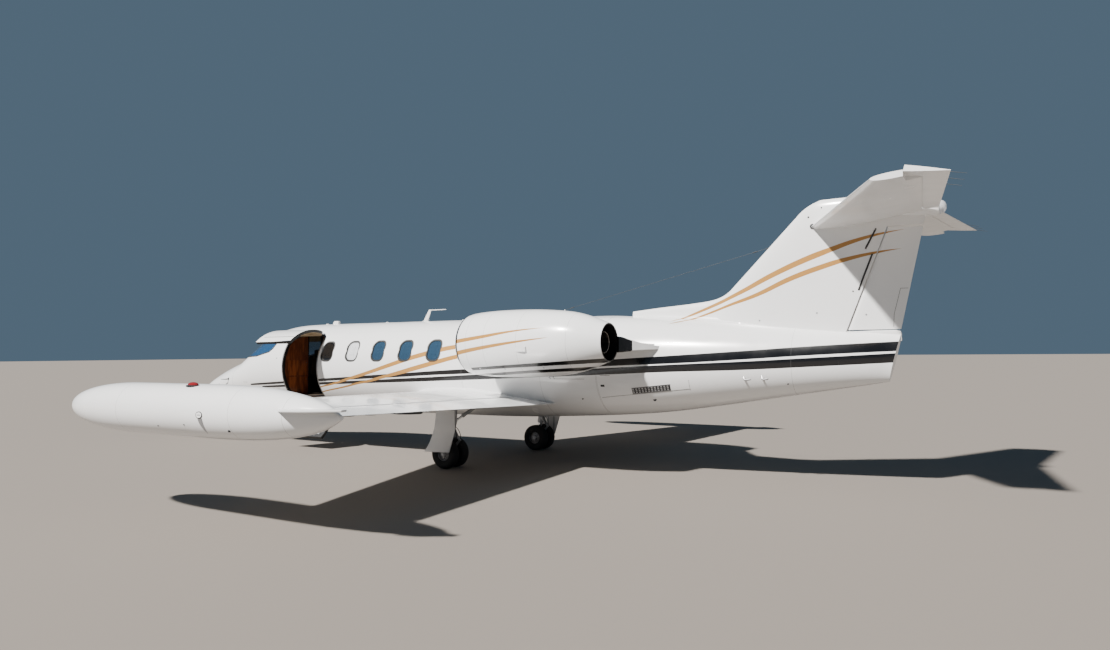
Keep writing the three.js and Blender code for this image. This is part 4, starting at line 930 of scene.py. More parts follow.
class Panel:
    """A surface whose sections have a leading edge, a trailing edge, a thickness and a camber."""

    def __init__(self, root, tip, normal):
        self.root, self.tip = root, tip
        self.normal = Vector(normal).normalized()

    def section(self, u):
        """Leading edge, chord, thickness and camber at a share of the span."""
        le, te, thick, camber = (self.root[key] * (1 - u) + self.tip[key] * u
                                 for key in ("le", "te", "thick", "camber"))
        return le, te - le, thick, camber

    def point(self, u, f, side, grow=0.0):
        le, chord, thick, camber = self.section(u)
        half = max(half_thickness(min(max(f, 0), 1)) * thick * chord.length, 0.0025 if f > 0.5 else 0)
        arch = camber * chord.length * 4 * f * (1 - f)
        return le + chord * f + self.normal * (arch + side * (half + grow))

    def ring(self, u):
        upper = [self.point(u, f, 1) for f in FOIL]
        lower = [self.point(u, f, -1) for f in reversed(FOIL[1:])]
        return upper + lower

    def nose_radius(self, u, f):
        chord, thick = self.section(u)[1:3]
        return max(half_thickness(f) * thick * chord.length - 0.001, 0.005)

    @staticmethod
    def share(hinge, u):
        return hinge if isinstance(hinge, float) else hinge[0] * (1 - u) + hinge[1] * u

    def flap_ring(self, u, hinge):
        f = self.share(hinge, u)
        centre, along, radius = self.point(u, f, 0), self.section(u)[1].normalized(), self.nose_radius(u, f)
        points = []
        for k in range(FLAP_NOSE + 1):
            turn = math.pi * k / FLAP_NOSE
            points.append(centre + self.normal * radius * math.cos(turn) - along * radius * math.sin(turn))
        rear = [f + (1 - f) * share for share in (0.12, 0.25, 0.4, 0.55, 0.7, 0.85, 1)]
        points += [self.point(u, g, -1) for g in rear]
        return points + [self.point(u, g, 1) for g in reversed(rear)]

    def flap(self, name, u0, u1, hinge, steps=6):
        return skin(name, [self.flap_ring(u0 + (u1 - u0) * k / steps, hinge) for k in range(steps + 1)])

    def cove(self, name, u0, u1, hinge, clear, extra, key):
        rings = []
        for u in (u0 - extra, u1 + extra):
            f = self.share(hinge, u)
            le, chord = self.section(u)[:2]
            front = f - (self.nose_radius(u, f) + clear) / chord.length
            tall = 0.25 * chord.length
            rings.append([le + chord * g + self.normal * rise for g, rise in (
                (front, tall), (front, -tall), (1.3, -tall), (1.3, tall))])
        return colour_in(skin(name, rings), key)

    def lugs(self, name, u0, u1, hinge, clear, shares=(0.12, 0.5, 0.88), radius=0.005):
        made = []
        for part in shares:
            u = u0 + (u1 - u0) * part
            f = self.share(hinge, u)
            along, centre, nose = self.section(u)[1].normalized(), self.point(u, f, 0), self.nose_radius(u, f)
            start, end = centre - along * (nose + clear + 0.014), centre - along * (nose + 0.001)
            made.append(rod(name, start, end, radius, sides=10, edge=0))
        return made


WING_X = (0.480, 5.520)
CLEAR = 0.007
END_CLEAR = 0.016
FLAP = (0.800, 3.690, 0.77)
AILERON = (3.760, 5.330, 0.77)
SPOILER = {"x0": 1.700, "x1": 3.150, "front": 0.645, "rear": 0.72, "thick": 0.014}


def wing_section(x, thick):
    return {"le": at(x, 6.420 + 0.284 * x, 0.985 + 0.035 * x),
            "te": at(x, 9.163 + 0.0715 * x, 0.940 + 0.035 * x),
            "thick": thick, "camber": 0.012}


WING = Panel(wing_section(WING_X[0], 0.09), wing_section(WING_X[1], 0.085), (0, 0, 1))


def wing_share(x):
    return (x - WING_X[0]) / (WING_X[1] - WING_X[0])


END_EXTRA = END_CLEAR / (WING_X[1] - WING_X[0])


def spoiler_point(u, f, drop):
    return WING.point(u, f, 1) - WING.normal * drop


def spoiler_room(name, key):
    f0, f1 = SPOILER["front"] - 0.0035, SPOILER["rear"] + 0.004
    rings = []
    for u in (wing_share(SPOILER["x0"]) - END_EXTRA, wing_share(SPOILER["x1"]) + END_EXTRA):
        rings.append([spoiler_point(u, f0, -0.06), spoiler_point(u, f1, -0.06),
                      spoiler_point(u, f1, 0.024), spoiler_point(u, f0, 0.024)])
    return colour_in(skin(name, rings), key)


def make_spoiler():
    rings = []
    u0, u1 = wing_share(SPOILER["x0"]), wing_share(SPOILER["x1"])
    front, span, thick = SPOILER["front"], SPOILER["rear"] - SPOILER["front"], SPOILER["thick"]
    radius = thick / 2
    shares = (0.25, 0.5, 0.75, 1)
    for k in range(7):
        u = u0 + (u1 - u0) * k / 6
        along = WING.section(u)[1].normalized()
        centre = spoiler_point(u, front, radius) + along * radius
        ring = [centre + WING.normal * radius * math.cos(math.pi * j / 8)
                - along * radius * math.sin(math.pi * j / 8) for j in range(9)]
        ring += [spoiler_point(u, front + span * g, thick * (1 - 0.5 * g)) for g in shares]
        ring += [spoiler_point(u, front + span * g, 0) for g in reversed(shares)]
        rings.append(ring)
    return skin("spoiler_left_plate", rings)


def pair(piece, base, body, slot, *materials, node=None, degrees=35):
    """Gives the port piece and its mirrored copy for the starboard side to their bodies."""
    other = mirrored(piece, f"{base}_right")
    named(piece, f"{base}_left")
    for made, name in ((piece, "left"), (other, "right")):
        nodes = [f"{node}_{name}"] if node else []
        give(made, body.format(name), slot, *materials, replaces=nodes, degrees=degrees)


ROOT_FAIRING = np.array(((0.480, 0.078), (0.760, 0.040), (0.860, 0.016), (0.960, -0.002)))
FAIRING_END = 0.74
BRACKETS = ((2.250, 0.52, 0.735), (3.725, 0.60, 0.97), (4.400, 0.55, 0.735))


def make_root_fairing():
    rings = []
    shares = [f for f in FOIL if 0 < f < FAIRING_END]
    for x in stations(0.480, 0.960, 0.04):
        u, grow = wing_share(x), smooth_row(ROOT_FAIRING, x)[1]
        def spot(f, side):
            return WING.point(u, f, side, grow * min((FAIRING_END - f) / 0.3, 1))
        front = WING.point(u, 0, 1) + Vector((0, -0.8 * grow, 0))
        rings.append([front] + [spot(f, 1) for f in shares] + [spot(f, -1) for f in reversed(shares)])
    return colour_in(skin("fairing", rings), "wing")


def make_bracket(x, front, rear):
    u = wing_share(x)
    outline = [WING.point(u, front, -1, -0.006)]
    for share, drop in ((0.12, .012), (0.3, .028), (0.5, .038), (0.75, .037), (0.95, .032), (1, .024),
                        (1, -.002)):
        outline.append(WING.point(u, front + (rear - front) * share, -1, drop))
    return colour_in(plate("bracket", [Vector((x, p.y, p.z)) for p in outline], 0.018, 0.004), "dark")


def make_wings():
    wing = colour_in(skin("wing_panel", [WING.ring(k / 14) for k in range(15)]), "wing")
    cut(wing, make_root_fairing(), operation="UNION")
    bits = [wing]
    for x0, x1, hinge in (FLAP, AILERON):
        cut(wing, WING.cove("cove", wing_share(x0), wing_share(x1), hinge, CLEAR, END_EXTRA, "plain"))
    cut(wing, spoiler_room("room", "plain"))
    cut(wing, body_skin("fuselage_room", 5.5, 10.5, 0.2, SKIN_GAP, "wing"))
    for x0, x1, hinge in (FLAP, AILERON):
        lugs = WING.lugs("lug", wing_share(x0), wing_share(x1), hinge, CLEAR)
        bits += [colour_in(lug, "steel") for lug in lugs]
    bits += [make_bracket(*row) for row in BRACKETS]
    pair(join("wing_skin", bits), "wing_skin", "airframe", "white_paint", node="wing")
    for kind, (x0, x1, hinge) in (("flap", FLAP), ("aileron", AILERON)):
        surface = WING.flap(f"{kind}_surface", wing_share(x0), wing_share(x1), hinge)
        pair(surface, f"{kind}_surface", kind + "_{}", "white_paint", "wing", node=kind)
    pair(make_spoiler(), "spoiler_plate", "spoiler_{}", "white_paint", "wing", node="spoiler")


make_wings()


# Tip tanks
TANK = {"x": 5.720, "z": 1.172, "start": 5.908, "end": 10.190, "radius": 0.268, "nose": 1.250}
TANK_REAR = np.array((
    (8.30, TANK["radius"]), (8.650, 0.266), (9.150, 0.249), (9.600, 0.204), (9.980, 0.120),
    (TANK["end"], 0.022),
))
FILLER = {"station": 8.570, "z": 1.160, "flat": 0.66}
TANK_LAMP = {"x": 5.80, "station": 8.20, "long": 2.2}


def patch(name, rows, thick):
    """A thin raised patch through rows of points that already lie on a surface."""
    piece = skin(name, rows, around=False, ends=(False, False))
    modify(piece, "SOLIDIFY", thickness=thick, offset=0)
    return piece


def stretched(piece, axis, centre, factor):
    """Scales a piece along one axis about a place on it."""
    for vertex in piece.data.vertices:
        vertex.co[axis] = centre + (vertex.co[axis] - centre) * factor
    return piece


def tank_side(z, out):
    """How far out the tank's round skin lies at a level."""
    return TANK["x"] + math.sqrt(TANK["radius"] ** 2 - (z - TANK["z"]) ** 2) + out


def make_filler():
    """A cap and its ring, drawn flat as seen from the side, a slot in the cap and a streak below it."""
    edge, s, z = TANK["x"] + TANK["radius"], FILLER["station"], FILLER["z"]
    cap = rod("cap", at(5.90, s, z), at(edge + 0.0035, s, z), 0.040, sides=40)
    profile = ((.040, -.004), (.040, .001), (.050, .001), (.052, -.004))
    ring = turned("ring", [(r, edge + out - TANK["x"]) for r, out in profile], at(TANK["x"], s, z), "X", 40)
    for piece in (cap, ring):
        stretched(piece, 2, z, FILLER["flat"])
    slot = block("slot", at(edge + 0.002, 8.545, 1.157), at(edge + 0.0045, 8.595, 1.163), 0)
    rows = [[at(tank_side(z, 0.0006), 8.578 + shift * width + (1.128 - z) * 0.12, z)
             for shift in (-1, -.3, .3, 1)]
            for width, z in ((.034, 1.128), (.030, 1.09), (.021, 1.05), (.011, 1.01), (.003, .98))]
    streak = patch("streak", rows, 0.002)
    return [colour_in(cap, "tank"), colour_in(ring, "dark"), colour_in(slot, "dark"),
            colour_in(streak, "steel")]


def make_tanks():
    rows = [(0.0, TANK["start"] - MIDDLE)]
    for k in range(1, 19):
        turn = math.radians(5 * k)
        rows.append((TANK["radius"] * math.sin(turn) ** 0.9,
                     TANK["start"] + TANK["nose"] * (1 - math.cos(turn)) - MIDDLE))
    rows += [(smooth_row(TANK_REAR, s)[1], s - MIDDLE) for s in stations(8.30, TANK["end"], 0.09)]
    rows.append((0.0, TANK["end"] + 0.004 - MIDDLE))
    tank = turned("tank", rows, (TANK["x"], 0, TANK["z"]), "Y", 72, closed=False)
    fin = plate("tank_fin", [at(x, s, 1.239) for x, s in (
        (5.760, 9.560), (5.930, 9.600), (6.035, 9.760), (5.990, 9.960), (5.800, 10.270), (5.735, 10.270))],
        0.02, 0.006)
    bits = [colour_in(tank, "tank"), colour_in(fin, "tank")] + make_filler()
    for s, z in ((8.30, 1.06), (7.85, 1.03), (8.95, 1.02)):
        x = tank_side(z, -0.006)
        bits.append(colour_in(rod("vent", at(x - 0.03, s, z), at(x + 0.006, s, z), 0.011, sides=18), "dark"))
    pair(join("tip_tank_skin", bits), "tip_tank_skin", "airframe", "white_paint", node="tip_tank")
    lens = ((0.0, 1.40), (.036, 1.40), (.036, 1.428), (.031, 1.446), (.018, 1.457), (0.0, 1.461))
    base = ((0.0, 1.40), (.046, 1.40), (.046, 1.4285), (.038, 1.4315), (0.0, 1.4315))
    for (name, side), shade in zip(SIDES, ("lamp_red", "lamp_green")):
        bits = []
        for rows, key in ((lens, shade), (base, "dark")):
            part = turned("lamp", rows, at(side * TANK_LAMP["x"], TANK_LAMP["station"], 0), "Z", 28,
                          closed=False)
            bits.append(colour_in(stretched(part, 1, TANK_LAMP["station"] - MIDDLE, TANK_LAMP["long"]), key))
        give(join(f"tank_lamp_{name}", bits), "airframe", "lamp_clear")


make_tanks()


# Engine nacelles: radius and station of the outside, from the lip to the tail, and of the inside back
ENGINE = {"x": 1.250, "z": 1.862, "fan": 8.560}
LIP_END = 8.225
BAND_END = 8.26
FAN_CASE_END = 8.74
BLADES = 30
NACELLE_OUT = np.array((
    (8.190, .388), (8.197, .412), (8.245, .437), (8.380, .462), (8.750, .483), (9.250, .483), (9.650, .462),
    (9.970, .426), (10.210, .366), (10.500, .262),
))
NACELLE_IN = ((10.500, .246), (10.250, .330), (9.850, .400), (8.760, .400), (8.700, .366), (8.450, .366),
              (8.205, .368))


def colour_faces(piece, keys, rule):
    """Several materials on one piece. The rule gives the number of a face's material."""
    piece.data.materials.clear()
    for key in keys:
        piece.data.materials.append(M[key])
    for face in piece.data.polygons:
        face.material_index = rule(face)
    return piece


def engine_lathe(name, rows, sides=72, closed=True):
    return turned(name, [(r, s - MIDDLE) for s, r in rows], (ENGINE["x"], 0, ENGINE["z"]), "Y", sides, closed)


def spoke(turn):
    """Outwards from the engine's line at an angle, and at right angles to that."""
    return Vector((math.cos(turn), 0, math.sin(turn))), Vector((-math.sin(turn), 0, math.cos(turn)))


def make_nacelles():
    spots = [8.190, 8.1915, 8.194, 8.20, 8.21, 8.225] + stations(8.25, 10.5, 0.075)
    outside = [(s, smooth_row(NACELLE_OUT, s)[1]) for s in spots]
    def rule(face):
        station = face.center.y + MIDDLE
        x, z = face.center.x - ENGINE["x"], face.center.z - ENGINE["z"]
        outward = x * face.normal.x + z * face.normal.z > 0
        if station < LIP_END:
            return 1
        if outward and station < BAND_END:
            return 4
        if outward and math.hypot(x, z) >= smooth_row(NACELLE_OUT, station)[1] - 0.012:
            return 0
        return 3 if station < FAN_CASE_END else 2
    shell = engine_lathe("nacelle", outside + list(NACELLE_IN))
    colour_faces(shell, ("nacelle", "lip", "exhaust", "fan", "black"), rule)
    pair(shell, "nacelle_skin", "airframe", "white_paint", node="nacelle")
    core = engine_lathe("core", (
        (8.606, 0.0), (8.606, .090), (8.640, .190), (8.760, .250), (9.300, .262), (9.800, .225),
        (10.200, .172),
        (10.420, .150), (10.424, .144), (10.420, .138), (10.200, .150), (10.050, .120), (10.050, 0.0)),
        closed=False)
    plug = engine_lathe("plug", ((10.045, 0.0), (10.045, .085), (10.12, .078), (10.24, .045), (10.33, .012),
                                 (10.335, 0.0)), 32, closed=False)
    struts = []
    hub = at(ENGINE["x"], 9.0, ENGINE["z"])
    for k in range(4):
        outward, side = spoke(math.pi / 2 * k + math.pi / 4)
        rings = [[hub + outward * reach + Vector((0, 0.26 * (f - 0.5), 0))
                  + side * s * 0.12 * half_thickness(f)
                  for s, shares in ((1, FOIL[::2]), (-1, FOIL[-3:0:-2])) for f in shares]
                 for reach in (0.20, 0.398)]
        struts.append(skin("strut", rings))
    bits = [colour_in(piece, "engine") for piece in [core, *struts]] + [colour_in(plug, "exhaust")]
    core = join("engine_core", bits)
    pair(core, "engine_core", "airframe", "engine_metal", node="engine")


def make_fans():
    hub = engine_lathe("spinner", ((8.390, 0.0), (8.394, .018), (8.41, .040), (8.44, .066), (8.50, .100),
                                   (8.55, .114),
                                   (8.60, .118), (8.604, .10), (8.605, 0.0)), 48, closed=False)
    blades = []
    middle = at(ENGINE["x"], ENGINE["fan"], ENGINE["z"])
    for k in range(BLADES):
        outward, side = spoke(2 * math.pi * k / BLADES)
        rings = []
        for j in range(6):
            reach = 0.105 + (0.350 - 0.105) * j / 5
            twist = math.radians(32 + 30 * j / 5)
            chord = 0.046 + 0.014 * j / 5
            lean = side * math.sin(twist) + Vector((0, math.cos(twist), 0))
            flat = side * math.cos(twist) - Vector((0, math.sin(twist), 0))
            thick = 0.004 - 0.0022 * j / 5
            rings.append([middle + outward * reach + lean * chord * c / 2 + flat * thick * t for c, t in (
                (-1, 0), (-0.6, 0.8), (0, 1), (0.6, 0.8), (1, 0), (0.6, -0.6), (0, -0.7), (-0.6, -0.6))])
        blades.append(skin("blade", rings))
    for piece in (hub, *blades):
        colour_in(piece, "fan")
    pair(join("fan_disc", [hub, *blades]), "fan_disc", "fan_{}", "fan_metal", node="fan")


PYLON = {"z": 1.835, "start": 8.560, "nose": 8.800, "outer": 10.480, "inner": 10.900, "half": 0.105}


def clear_of_engine(piece):
    """Cuts the fuselage's and the nacelle's room out of a piece that joins them."""
    cut(piece, body_skin("room", 8.0, 11.6, 0.2, SKIN_GAP, "plain"))
    rows = [(8.1, 0.0)] + [(s, r + 0.0006) for s, r in NACELLE_OUT] + [(10.6, 0.0)]
    return cut(piece, colour_in(engine_lathe("room", rows, closed=False), "plain"))


def make_pylons():
    rings = []
    for x, start, end in ((0.50, PYLON["start"], PYLON["inner"]), (1.05, PYLON["nose"], PYLON["outer"])):
        def spot(f, side):
            half = max(half_thickness(f) * PYLON["half"] * 2, 0.005 if f > 0.5 else 0)
            return at(x, start + f * (end - start), PYLON["z"] + side * half)
        rings.append([spot(f, 1) for f in FOIL] + [spot(f, -1) for f in reversed(FOIL[1:])])
    pylon = clear_of_engine(colour_in(skin("pylon", rings), "plain"))
    pylon.data.materials.append(M["black"])
    for face in pylon.data.polygons:
        if face.center.y + MIDDLE > 10.20 and abs(face.normal.x) < 0.5:
            face.material_index = len(pylon.data.materials) - 1
    rings = []
    for x, end, half, level in ((0.46, 10.98, .016, 1.782), (0.62, 10.90, .030, 1.790),
                                (0.76, 10.77, .052, 1.802), (0.88, 10.66, .080, 1.818),
                                (0.97, 10.59, .104, 1.830), (1.04, 10.535, .112, 1.835)):
        side = ((9.60, 0.004), (9.85, .045), (10.20, .6 * half + .02), (end - .03, half), (end, half * .82))
        rings.append([at(x, s, level + h) for s, h in side]
                     + [at(x, s, level - h) for s, h in reversed(side)])
    def sooty(face):
        return int(face.center.x > 0.88 or face.center.z > 1.862 - 0.03 * (face.center.y + MIDDLE - 10.5))
    fairing = clear_of_engine(colour_faces(skin("pylon_fairing", rings), ("plain", "black"), sooty))
    pair(join("pylon", [pylon, fairing]), "pylon_skin", "airframe", "white_paint", node="pylon")


make_nacelles()
make_fans()
make_pylons()


# Tail: fin, rudder, tailplane and elevators
FIN = {"low": 1.850, "high": 3.690, "rudder_low": 1.990, "rudder_high": 3.262, "rise": 0.028, "hinge": 0.79}
STAB = {"half": 2.235, "hinge": (0.9, 0.68), "pitch": 0.0875, "droop": 15}
ELEVATOR = {"x0": 0.112, "x1": 2.232, "horn": 1.990, "front": 14.290}
BULLET_LEVEL = 3.478
DORSAL = np.array((
    (10.262, 2.330, .020), (10.700, 2.372, .050), (11.200, 2.412, .066), (11.520, 2.452, .074),
    (11.680, 2.512, .078), (11.800, 2.590, .080), (12.300, 2.620, .080),
))


def fin_section(z, thick):
    return {"le": at(0, 11.710 + 0.982 * (z - 2.520), z), "te": at(0, 13.940 + 0.218 * (z - 1.940), z),
            "thick": thick, "camber": 0}


FIN_PANEL = Panel(fin_section(FIN["low"], 0.085), fin_section(FIN["high"], 0.1), (1, 0, 0))


def fin_share(z):
    return (z - FIN["low"]) / (FIN["high"] - FIN["low"])


def stab_level(station):
    return 3.480 + STAB["pitch"] * (station - 14.300)


def stab_section(x):
    front, rear = 12.855 + 0.5 * x, 14.400 + 0.139 * x
    return {"le": at(x, front, stab_level(front)), "te": at(x, rear, stab_level(rear)), "thick": 0.09,
            "camber": 0}


STAB_PANEL = Panel(stab_section(0), stab_section(STAB["half"]), (0, -STAB["pitch"], 1))


def make_strake():
    """The strake ahead of the fin: a rounded ridge on a foot that spreads over the fuselage."""
    rings = []
    for s in stations(10.262, 12.300, 0.06):
        top, half = smooth_row(DORSAL, s)[1:]
        foot = roof_level(s) - 0.012
        right = [(1.5 * half, 1.95)] + [(wide * half, foot + share * (top - foot)) for wide, share in (
            (1.5, 0), (1.20, 0.07), (1, 0.2), (0.82, 0.42), (0.72, 0.6), (0.60, 0.78), (0.36, 0.92),
            (0.18, 0.98))]
        rings.append([at(x, s, z) for x, z in right + [(0, top)] + [(-x, z) for x, z in reversed(right)]])
    return colour_in(skin("strake", rings), "fin")


def make_fin():
    rings = []
    front = FIN_PANEL.section(1)[0].y
    for u in [k / 10 for k in range(10)] + [0.92, 0.94, 0.955, 0.968, 0.98, 0.99, 0.996, 1.0]:
        ring = FIN_PANEL.ring(u)
        if u > 0.91:
            share = (u - 0.91) / 0.09
            limit = FIN_PANEL.section(u)[0].y + (13.010 - MIDDLE - front) * share ** 2.2
            for p in ring:
                p.x *= 1 - 0.6 * share ** 3
                p.y = max(p.y, limit)
                p.z += 0.018 * share
        rings.append(ring)
    fin = colour_in(skin("fin_skin", rings), "fin")
    low, high = fin_share(FIN["rudder_low"]), fin_share(FIN["rudder_high"])
    extra = FIN["rise"] / (FIN["high"] - FIN["low"])
    cut(fin, FIN_PANEL.cove("cove", low, high, FIN["hinge"], CLEAR, extra, "plain"))
    under = block("room", at(-0.2, 13.35, 1.7), at(0.2, 14.5, FIN["rudder_low"] - FIN["rise"] + 0.008), 0)
    cut(fin, colour_in(under, "plain"))
    strake = make_strake()
    for piece in (fin, strake):
        cut(piece, body_skin("room", TAIL_START, TAIL_END, 0.2, SKIN_GAP, "plain"))
    lugs = [colour_in(b, "steel") for b in FIN_PANEL.lugs("lug", low, high, FIN["hinge"], CLEAR)]
    fin = join("fin_skin", [fin, strake, *lugs])
    give(fin, "airframe", "white_paint", replaces=["fin"])
    rudder = FIN_PANEL.flap("rudder_surface", low, high, FIN["hinge"], 8)
    give(rudder, "rudder", "white_paint", "fin", replaces=["rudder"])


def turned_about(piece, joint, degrees):
    """Turns a finished piece about a joint's line."""
    pivot = Vector(JOINTS[joint]["pos_m"])
    turn = Matrix.Rotation(math.radians(degrees), 4, Vector(JOINTS[joint]["axis"]))
    piece.data.transform(Matrix.Translation(pivot) @ turn @ Matrix.Translation(-pivot))
    return piece


def make_tail_light():
    """The white bullet behind the tailplane and the clear lens on its end."""
    bullet = ((13.850, 0.0), (13.856, .014), (13.870, .026), (13.89, .040), (13.95, .062), (14.02, .076),
              (14.100, .082), (14.20, .084), (14.280, .092), (14.33, .100), (14.38, .103), (14.412, .101),
              (14.420, .092), (14.421, 0.0))
    lens = ((14.410, 0.0), (14.410, .086), (14.435, .084), (14.456, .075), (14.475, .059), (14.488, .034),
            (14.493, .014), (14.494, 0.0))
    parts = []
    for rows, key in ((bullet, "plain"), (lens, "lamp_clear")):
        rows = [(radius, station - MIDDLE) for station, radius in rows]
        parts.append(colour_in(turned("bullet", rows, (0, 0, BULLET_LEVEL), "Y", 40, closed=False), key))
    return parts


def make_tailplane():
    def half(name):
        return skin(name, [STAB_PANEL.ring(k / 10) for k in range(11)])
    body = half("stab")
    other = mirrored(body, "stab_other")
    cut(colour_in(body, "plain"), colour_in(other, "plain"), operation="UNION")
    span, horn_x, front = STAB["half"], ELEVATOR["horn"], ELEVATOR["front"]
    low, high = ELEVATOR["x0"] / span, horn_x / span
    for side in (1, -1):
        cove = STAB_PANEL.cove("cove", low, 1.02, STAB["hinge"], CLEAR, CLEAR / span, "plain")
        room = block("room", at(horn_x - CLEAR, front - CLEAR, 3.28), at(horn_x + 0.3, front + 0.7, 3.68), 0)
        for tool in (cove, colour_in(room, "plain")):
            if side < 0:
                flipped = mirrored(tool, "flipped")
                bpy.data.objects.remove(tool)
                tool = flipped
            cut(body, tool)
    tail_light = make_tail_light()
    lugs = STAB_PANEL.lugs("lug", low, high, STAB["hinge"], CLEAR)
    lugs += [mirrored(lug, "lug_other") for lug in lugs]
    bits = [body, *tail_light] + [colour_in(lug, "steel") for lug in lugs]
    give(join("stabiliser_skin", bits), "airframe", "white_paint", replaces=["stabiliser"])
    blade = STAB_PANEL.flap("elevator", (ELEVATOR["x0"] + CLEAR) / span, ELEVATOR["x1"] / span, STAB["hinge"],
                            10)
    keep = block("keep", at(horn_x, front, 3.28), at(ELEVATOR["x1"], front + 0.3, 3.68), 0)
    elevator = cut(blade, cut(half("horn"), keep, operation="INTERSECT"), operation="UNION")
    other = mirrored(elevator, "elevator_surface_right")
    named(elevator, "elevator_surface_left")
    for piece, name in ((elevator, "left"), (other, "right")):
        turned_about(piece, f"elevator_hinge_{name}", -STAB["droop"])
        give(piece, f"elevator_{name}", "white_paint", "plain", replaces=[f"elevator_{name}"])


make_fin()
make_tailplane()


# Doors: built closed, then swung open about their hinges
DOOR_OPEN = {"upper": -63.5, "lower": 111}
CABIN_AXIS = 1.49


def from_axis(face):
    """From the middle line of the cabin to a face's centre."""
    return face.center - Vector((0, face.center.y, CABIN_AXIS))


def make_door(name, low, high):
    rows = [[body_point(start + (end - start) * j / 16, angle) for j in range(17)]
            for angle, start, end in door_rows(low, high, DOOR_GAP)]
    door = skin(f"door_{name}_panel", rows, around=False, ends=(False, False))
    if sum(face.normal.dot(from_axis(face)) for face in door.data.polygons) < 0:
        door.data.flip_normals()
    modify(door, "SOLIDIFY", thickness=DOOR["wall"], offset=-1, use_even_offset=True)
    def rule(face):
        facing = face.normal.dot(from_axis(face).normalized())
        return 0 if facing > 0.6 else 1 if facing < -0.6 else 2
    colour_faces(door, ("door", "lining" if name == "upper" else "dark", "rubber"), rule)
    closed = door.data.attributes.new("closed", "FLOAT_VECTOR", "POINT")
    places = np.array([v.co for v in door.data.vertices], np.float32)
    closed.data.foreach_set("vector", places.ravel())
    return door


def door_fittings(name, low, high):
    """Steps and rails inside the lower half, a pad and a handle inside the upper, latches on both."""
    bits = []
    depth = DOOR["wall"]
    middle = (DOOR["start"] + DOOR["end"]) / 2
    def inner(station, angle, extra):
        return body_point(station, math.radians(angle), -(depth + extra))
    def slab(a0, a1, s0, s1, out0, out1, key):
        angles = [a0 + (a1 - a0) * k / 6 for k in range(7)]
        rings = [[inner(s, a, out0) for a in angles] + [inner(s, a, out1) for a in reversed(angles)]
                 for s in stations(s0, s1, 0.1)]
        piece = skin("slab", rings)
        bevel(piece, 0.003, 1)
        return colour_in(piece, key)
    if name == "lower":
        for a0, a1 in ((-62.5, -57), (-39, -31.3), (-30.3, -22.5)):
            bits.append(slab(a0, a1, middle - 0.27, middle + 0.27, -0.004, 0.016, "alloy"))
            for k in range(3):
                a = a0 + 0.8 + (a1 - a0 - 2.6) * k / 2
                bits.append(slab(a, a + 1.0, middle - 0.25, middle + 0.25, 0.014, 0.020, "rubber"))
        for s in (DOOR["start"] + 0.10, DOOR["end"] - 0.14):
            bits.append(slab(-39, -22, s, s + 0.035, -0.004, 0.012, "steel"))
    else:
        bits.append(slab(-6, 40, middle - 0.30, middle + 0.30, -0.004, 0.012, "lining"))
        bits.append(slab(-12.5, -9.5, middle - 0.10, middle + 0.10, -0.004, 0.022, "steel"))
        bits.append(slab(-7.2, -6.2, DOOR["start"] + 0.10, DOOR["end"] - 0.02, -depth - 0.0016, 0.003 - depth,
                         "rubber"))
    for s in (DOOR["start"] + 0.20, middle, DOOR["end"] - 0.23):
        edge = low + 2.2 if name == "upper" else high - 3.4
        bits.append(slab(edge, edge + 1.4, s, s + 0.03, -0.004, 0.006, "alloy"))
    for piece in bits:
        closed = piece.data.attributes.new("closed", "FLOAT_VECTOR", "POINT")
        closed.data.foreach_set("vector", np.zeros(3 * len(piece.data.vertices), np.float32))
    return bits


def make_doors():
    for name, low, high in (("upper", DOOR["split"], DOOR["top"]), ("lower", DOOR["bottom"], DOOR["split"])):
        door = make_door(name, low, high)
        joint = f"door_{name}_hinge"
        pivot = Vector(JOINTS[joint]["pos_m"])
        bar = rod("hinge_bar", (pivot.x, DOOR["start"] + 0.19 - MIDDLE, pivot.z),
                  (pivot.x, DOOR["end"] - 0.19 - MIDDLE, pivot.z), 0.008)
        bits = [door, colour_in(bar, "steel")] + door_fittings(name, low, high)
        door = join(f"door_{name}_panel", bits)
        turned_about(door, joint, DOOR_OPEN[name])
        give(door, f"door_{name}", "white_paint", replaces=[f"door_{name}"])


make_doors()


# Landing gear, made on the port side
GEAR = {"x": 1.257, "station": 7.780, "axle": 0.222, "half": 0.119, "top": 1.010, "tyre": 0.073,
        "bead": 0.104}
NOSE_GEAR = {"station": 1.630, "axle": 0.228, "tyre": 0.056, "bead": 0.110}


def tyre(name, centre, radius, half, bead):
    """A tyre about a line across: bead, sidewall, shoulder and a tread with four grooves."""
    wall = ((0.0, 0.66), (0.10, 0.78), (0.30, 0.94), (0.55, 1.0), (0.78, 0.95), (0.91, 0.80), (0.975, 0.62))
    side = [(bead + rise * (radius - bead), wide * half) for rise, wide in wall]
    tread = []
    for low, high in ((0.37, 0.45), (0.09, 0.17)):
        tread += [(radius, high * half), (radius - 0.006, (high - 0.01) * half),
                  (radius - 0.006, (low + 0.01) * half),
                  (radius, low * half)]
    rows = side + tread
    return turned(name, rows + [(r, -x) for r, x in reversed(rows)], centre, "X", 96)


